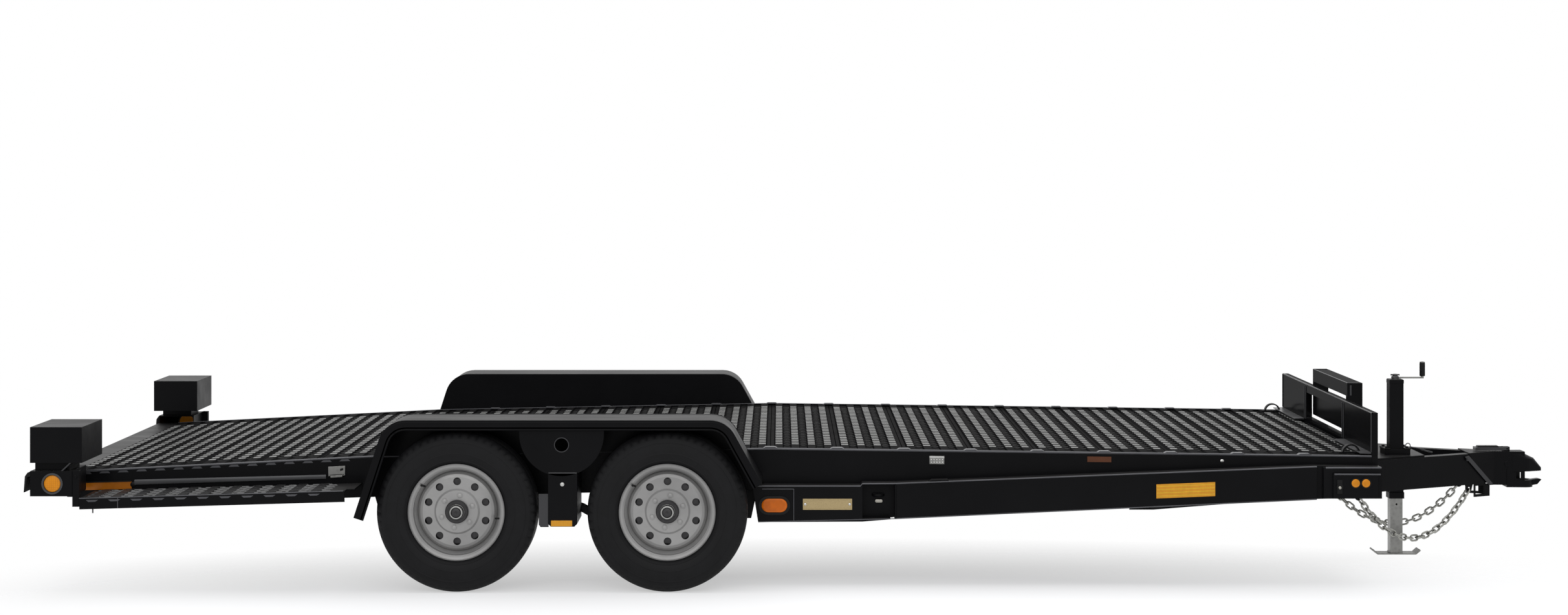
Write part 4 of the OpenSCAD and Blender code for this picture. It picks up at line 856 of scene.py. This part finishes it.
for side, s in SIDES:
    edges = Solids()
    lo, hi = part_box(f"fender_{side}")
    outer = hi.y if s > 0 else -lo.y
    edges.rod([(x, s * (outer - 0.0102), z) for x, z in fender_line(0.0105)], 0.011, 12)
    lip_lines = [fender_line(d) for d in (0.03, 0.0425)]
    pairs = list(zip(*lip_lines))
    for ends in zip(pairs, pairs[1:]):
        edges.loft([[(x, s * (outer - d), z) for d in (0.0, 0.004) for x, z in (pair if d else pair[::-1])]
                    for pair in ends])
    edges.rod([(x, s * (outer - 0.003), z) for x, z in fender_line(0.0405)], 0.0035, 8)
    edges.rod([(x, s * (RAIL_Y + 0.004), z) for x, z in fender_line(0.002)], 0.004, 8)
    edges.done(f"fender_edges_{side}", BLACK)
    marks, bolts = batch(2)
    y = s * BRACKET_Y
    block(marks, s, (AXLE_X - 0.045, BRACKET_Y, 0.286), (AXLE_X + 0.0455, BRACKET_Y + 0.003, 0.311), 0.001)
    bolts.bolt((AXLE_X + 0.003, y, 0.466), (0, s, 0), 0.006, 0.005)
    folds = Solids()
    folds.rod([(AXLE_X - 0.056, y, 0.5145), (AXLE_X + 0.065, y, 0.5145)], 0.0028, 8)
    rim = [(AXLE_X + HOLE_R * math.cos(a), y, HOLE_Z + HOLE_R * math.sin(a)) for a in turns(28)]
    folds.rod(rim, 0.0022, 8, closed=True)
    folds.prism([(AXLE_X + dx, z) for dx, z in
                 ((-0.098, 0.424), (-0.098, 0.292), (-0.09, 0.282), (-0.056, 0.282), (-0.056, 0.424))],
                *outward(s, BRACKET_Y - 0.008, BRACKET_Y - 0.004))
    folds.done(f"bracket_folds_{side}", FOLD)
    marks.done(f"bracket_strip_{side}", YELLOW)
    bolts.done(f"bracket_bolts_{side}", BRIGHT)

# Brackets between the wheels, which stand for the node, and the fenders' inner panels
BRACKET_R, BRACKET_Z, SHEET_TOP, PLATE = 0.182, 0.682, 0.7377, 0.004
PANEL_LOW = 0.56
holed, boxes, panels = batch(3)


def in_plate(x, z):
    """Whether a point lies in the bracket plate: a half disc below a straight part."""
    if z >= BRACKET_Z:
        return z <= SHEET_TOP and abs(x - AXLE_X) <= BRACKET_R
    return math.hypot(x - AXLE_X, z - BRACKET_Z) <= BRACKET_R


def plate_edge(a):
    """The point of the bracket plate's outline in direction a from its hole."""
    low, high = 0.0, 0.4
    while high - low > 1e-5:
        d = (low + high) / 2
        if in_plate(AXLE_X + d * math.cos(a), HOLE_Z + d * math.sin(a)):
            low = d
        else:
            high = d
    return AXLE_X + low * math.cos(a), HOLE_Z + low * math.sin(a)


corner = math.atan2(SHEET_TOP - HOLE_Z, BRACKET_R)
angles = sorted(turns(72) + [corner, math.pi - corner])
for _, s in SIDES:
    hole = [(AXLE_X + 0.03 * math.cos(a), HOLE_Z + 0.03 * math.sin(a)) for a in angles]
    ring_plate(holed, [plate_edge(a) for a in angles], hole, s * (BRACKET_Y - PLATE), s * BRACKET_Y)
    boxes.prism([(AXLE_X + dx, z) for dx, z in
                 ((-0.058, 0.296), (-0.058, 0.516), (0.067, 0.516), (0.067, 0.296), (0.055, 0.284),
                  (-0.046, 0.284))],
                *outward(s, BRACKET_Y, RAIL_Y + SKIN))
    under = [(x, z) for x, z in fender_line(0.0045) if z > PANEL_LOW]
    first, last = under[0], under[-1]
    left = first[0] - (first[1] - PANEL_LOW) * math.tan(REAR_A)
    right = last[0] + (last[1] - PANEL_LOW) * math.tan(FRONT_A)
    panels.prism([(left, PANEL_LOW)] + under + [(right, PANEL_LOW)],
                 *outward(s, RAIL_Y + SKIN, RAIL_Y + SKIN + PLATE))
for solids, name in ((holed, "bracket_plates"), (boxes, "bracket_boxes")):
    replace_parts(solids.done(name, BLACK, bevel=0.001), "fender_brackets")
panels.done("fender_panels", BLACK)

# Rear corner: bumper that is shallow outside the frame, latch post and bent lip
INNER_Y, SHEET, SHALLOW_Z = 0.7, 0.006, 0.419
x0, x1, z1 = bumper_lo.x, bumper_hi.x, bumper_hi.z
rear, post, lip = batch(3)
for z0, y0, y1 in ((bumper_lo.z, -INNER_Y, INNER_Y), (SHALLOW_Z, INNER_Y, bumper_hi.y),
                   (SHALLOW_Z, -bumper_hi.y, -INNER_Y)):
    rear.prism([(x0, z0), (x1, z0), (x1, z0 + SHEET), (x0 + SHEET, z0 + SHEET), (x0 + SHEET, z1 - SHEET),
                (x1, z1 - SHEET), (x1, z1), (x0, z1)], y0, y1)
for _, s in SIDES:
    for y, z0 in ((INNER_Y - PLATE, bumper_lo.z), (bumper_hi.y - 0.005, SHALLOW_Z)):
        rear.prism([(x0 + 0.001, z0 + 0.001), (x1 - 0.001, z0 + 0.001), (x1 - 0.001, z1 - 0.001),
                    (x0 + 0.001, z1 - 0.001)], *outward(s, y, y + PLATE))
    px0, px1 = DECK_X0 + 0.1806, ledge_lo.x - 0.0005
    block(post, s, (px0, SIDE_Y - 0.03, 0.372), (px1, SIDE_Y - 0.002, 0.527))
    post.bolt(((px0 + px1) / 2, s * (SIDE_Y - 0.002), 0.5), (0, s, 0), 0.007, 0.006)
    lip.prism([(DECK_X0 + dx, z) for dx, z in
               ((0.132, 0.5255), (0.14, 0.5255), (0.196, 0.579), (0.193, 0.583))],
              *outward(s, SIDE_Y - 0.028, SIDE_Y - 0.001))
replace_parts(rear.done("bumper_channel", BLACK), "rear_bumper")
post.done("latch_posts", BLACK, bevel=0.001)
lip.done("bent_lips", FOLD)

# Headboard and winch stand

# Trims of the headboard and the winch stand: lit creases and edges in the grey of a painted highlight
trim, stand_bits = batch(2)
HEAD_X, HEAD_TOP, FOOT_Z = head_lo.x, head_hi.z - 0.002, head_lo.z
CREASE_LOW, CREASE_TOP = 0.575, 0.735
STAND_TOP = stand_hi.z - 0.001
trim.rod([(HEAD_X + 0.003, y, HEAD_TOP) for y in (-RAIL_Y, RAIL_Y)], 0.0035, 8)
for _, s in SIDES:
    # Upright creases beside the window, and the flange at the headboard's foot
    for y, r in ((0.45, 0.0035), (0.418, 0.003)):
        trim.rod([(HEAD_X - 0.0005, s * y, z) for z in (CREASE_LOW, CREASE_TOP)], r, 8)
    trim.prism([(HEAD_X - 0.05, FOOT_Z + 0.012), (HEAD_X, FOOT_Z + 0.01), (HEAD_X, FOOT_Z + 0.017),
                (HEAD_X - 0.05, FOOT_Z + 0.016)], *outward(s, 0.46, RAIL_Y - 0.004))
    trim.rod([(HEAD_X - 0.001, s * (RAIL_Y - 0.002), z) for z in (CREASE_LOW, HEAD_TOP)], 0.0025, 8)
    for z in (0.69, 0.645):
        stand_bits.bolt((stand_hi.x - 0.03, s * stand_hi.y, z), (0, s, 0), 0.009, 0.008)
    ends = (stand_lo.x + 0.004, stand_hi.x - 0.003)
    stand_bits.rod([(x, s * (stand_hi.y - 0.004), STAND_TOP) for x in ends], 0.003, 8)
    stand_bits.prism([(stand_lo.x + dx, z) for dx, z in
                      ((0.012, 0.765), (0.02, 0.765), (0.02, 0.812), (0.012, 0.812))],
                     *outward(s, stand_hi.y, stand_hi.y + 0.0025))
stand_bits.rod([(stand_lo.x + 0.003, y, STAND_TOP) for y in (-stand_hi.y, stand_hi.y)], 0.003, 8)
trim.done("headboard_trim", FOLD)
stand_bits.done("winch_stand_trim", FOLD)

# Jack

jx, jy = (tube_lo.x + tube_hi.x) / 2, (tube_lo.y + tube_hi.y) / 2
jw = (tube_hi.x - tube_lo.x) / 2
gear, collar, base, crank_bits, leg_bits = batch(5)
top = tube_hi.z
for w, z0, z1, cut in ((jw + 0.001, top - 0.0175, top + 0.0015, 0.004),
                       (jw + 0.0025, tube_lo.z - 0.0005, tube_lo.z + 0.03, 0.002)):
    collar.box((jx - w, jy - w, z0), (jx + w, jy + w, z1), cut)
foot = plate_hi.z
BASE_X, BASE_Y, BASE_H = 0.062, 0.052, 0.006
UP = (0, 0, 1)
base.box((jx - BASE_X, jy - BASE_Y, foot), (jx - jw, jy + BASE_Y, foot + BASE_H), 0.002)
base.box((jx + jw, jy - BASE_Y, foot), (jx + BASE_X, jy + BASE_Y, foot + BASE_H), 0.002)
for dx in (-0.048, 0.048):
    for dy in (-0.036, 0.036):
        base.bolt((jx + dx, jy + dy, foot + BASE_H), UP, 0.007, 0.007)
_, crank_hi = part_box("jack_crank")
crank_bits.lathe([(0.0165, 0.0), (0.0185, 0.002), (0.0185, 0.009), (0.0165, 0.0115), (0.0125, 0.013),
                  (0.0125, 0.02), (0.009, 0.0225), (0, 0.0225)], (jx, jy, top + 0.0025), UP, 12)
crank_bits.rod([(jx - 0.021, jy, top + 0.021), (jx + 0.021, jy, top + 0.021)], 0.0035, 10)
grip_x = crank_hi.x - 0.012
gear.lathe([(0.0122, 0), (0.0128, 0.003), (0.0128, 0.06), (0.0118, 0.0655), (0.006, 0.068), (0, 0.068)],
           (grip_x, jy, crank_hi.z - 0.067), UP, 24)
for i in range(7):
    gear.lathe([(0.0124, 0), (0.0133, 0.0015), (0.0133, 0.0035), (0.0124, 0.005)],
               (grip_x, jy, crank_hi.z - 0.06 + i * 0.0075), UP, 24)
crank_bits.done("crank_gear", IRON, "crank")
gear.done("crank_grip", DARK, "crank")
collar.done("jack_collars", BLACK)
base.done("jack_base", BLACK)
# Weld round the leg's foot, low enough to stay below the tube when the leg is up
WELD_HALF, WELD_Z = 0.0285, 0.0075
weld = [(jx + dx * WELD_HALF, jy + dy * WELD_HALF, WELD_Z)
        for dx, dy in ((-1, -1), (1, -1), (1, 1), (-1, 1))]
leg_bits.rod(weld, 0.004, 8, closed=True)
leg_bits.done("leg_weld", ZINC, "jack_inner")

# Tongue: strap along the coupler's edge, jaw tip, handle bar, pin ring and its rod
TIP = head_hi.x + 0.776
LEAN = math.radians(28)
SLOPE = math.tan(LEAN)
STRAP_HALF, STRAP_T, BOLT_BACK = 0.011, 0.0045, 0.147
strap, tip_bits, ring_bits, bar_bits = batch(4)
for _, s in SIDES:
    rows = []
    for x, z in ((TIP - 0.15, 0.452), (TIP - 0.018, 0.312)):
        y = (TIP - x) * SLOPE + 0.0335
        inner = [(x - STRAP_HALF, y + STRAP_HALF * SLOPE, z - 0.002),
                 (x + STRAP_HALF, y - STRAP_HALF * SLOPE, z + 0.002)]
        outer = [(px, py + STRAP_T, pz) for px, py, pz in reversed(inner)]
        rows.append([(px, s * py, pz) for px, py, pz in inner + outer])
    strap.loft(rows)
    strap.bolt((TIP - BOLT_BACK, s * (BOLT_BACK * SLOPE + 0.0378), 0.438),
               (math.sin(LEAN), s * math.cos(LEAN), 0), 0.006, 0.005)
    stud(tip_bits, s, coupler_hi.x - 0.169, 0.0368, 0.406,
         [(0.0155, -0.004), (0.0155, 0.0015), (0.0125, 0.003), (0.009, 0.0022), (0, 0.0008)], 24)
tip_bits.prism([(coupler_hi.x - dx, z) for dx, z in
                ((0.055, 0.302), (0.022, 0.308), (0.002, 0.331), (0.016, 0.334), (0.05, 0.3295))],
               -0.018, 0.018)
bar_bits.box((latch_lo.x + 0.012, -0.017, latch_hi.z - 0.001),
             (latch_hi.x - 0.045, 0.017, latch_hi.z + 0.006), 0.003)
px, RING_R = jx + jw + 0.028, 0.011
ring = [(px + RING_R * math.cos(a), jy, foot + 0.012 + RING_R * math.sin(a)) for a in turns(20)]
ring_bits.rod(ring, 0.0022, 8, closed=True)
ring_bits.rod([(px + 0.01, jy, foot + 0.006), (px + 0.05, jy + 0.005, foot - 0.002),
               (px + 0.12, jy + 0.02, plate_lo.z + 0.012)], 0.0032, 8)
strap.done("coupler_straps", FOLD, smooth=0)
tip_bits.done("coupler_trim", BLACK)
bar_bits.done("latch_bar", BLACK, "latch")
ring_bits.done("jack_pin_ring", FOLD)

# Lights and floor

AMBIENT = 0.62
world = bpy.data.worlds.new("studio")
scene.world = world
world.use_nodes = True
tree = world.node_tree
tree.nodes.clear()
w_out = tree.nodes.new("ShaderNodeOutputWorld")
ambient = tree.nodes.new("ShaderNodeBackground")
ambient.inputs["Color"].default_value = (0.93, 0.95, 1, 1)
ambient.inputs["Strength"].default_value = AMBIENT
plain = tree.nodes.new("ShaderNodeBackground")
plain.inputs["Color"].default_value = (1, 1, 1, 1)
choose = tree.nodes.new("ShaderNodeMixShader")
path = tree.nodes.new("ShaderNodeLightPath")
seen_by = path.outputs["Is Camera Ray"]
for kind in ("Is Glossy Ray", "Is Transmission Ray"):
    either = tree.nodes.new("ShaderNodeMath")
    either.operation = "MAXIMUM"
    tree.links.new(seen_by, either.inputs[0])
    tree.links.new(path.outputs[kind], either.inputs[1])
    seen_by = either.outputs[0]
tree.links.new(seen_by, choose.inputs[0])
tree.links.new(ambient.outputs[0], choose.inputs[1])
tree.links.new(plain.outputs[0], choose.inputs[2])
tree.links.new(choose.outputs[0], w_out.inputs[0])


def area(name, where, target, size, size_y, power):
    data = bpy.data.lights.new(name, "AREA")
    data.shape = "RECTANGLE"
    data.size, data.size_y, data.energy = size, size_y, power
    lamp = bpy.data.objects.new(name, data)
    lamp.location = where
    lamp.rotation_euler = (Vector(target) - Vector(where)).to_track_quat("-Z", "Y").to_euler()
    scene.collection.objects.link(lamp)


area("top_light", (0, 0.5, 6.5), (0, 0, 0), 11, 7, 440)
area("side_light", (-1, -8, 4.5), (0, -1, 0.3), 9, 4, 170)

floor_mesh = bpy.data.meshes.new("floor")
floor_mesh.from_pydata([(-9, -7, 0), (9, -7, 0), (9, 7, 0), (-9, 7, 0)], [], [(0, 1, 2, 3)])
floor = bpy.data.objects.new("floor", floor_mesh)
scene.collection.objects.link(floor)
# The floor keeps the shadow near the object and fades into the white around it
n = Nodes("floor_white")
n.set(Base_Color=(0.92, 0.92, 0.92, 1), Roughness=0.9, Specular_IOR_Level=0.1)
split = n.add("SeparateXYZ")
n.link(n.coords, split.inputs[0])
FADE_X, FADE_Y, FADE_BACK = 4.6, 2.2, 1.9
along = n.math("DIVIDE", split.outputs[0], FADE_X)
across = n.math("DIVIDE", n.math("ADD", split.outputs[1], FADE_BACK), FADE_Y)
far = n.math("SQRT", n.math("ADD", n.math("POWER", along, 2.0), n.math("POWER", across, 2.0)))
fade = n.span(far, 0.5, 1.02, 0, 1)
glow = n.add("Emission")
lit = n.add("MixShader")
lit.inputs[0].default_value = 0.5
clear = n.add("BsdfTransparent")
seen = n.add("MixShader")
n.link(n.shader.outputs[0], lit.inputs[1])
n.link(glow.outputs[0], lit.inputs[2])
n.link(fade, seen.inputs[0])
n.link(lit.outputs[0], seen.inputs[1])
n.link(clear.outputs[0], seen.inputs[2])
n.link(seen.outputs[0], n.out.inputs["Surface"])
floor_mesh.materials.append(n.mat)
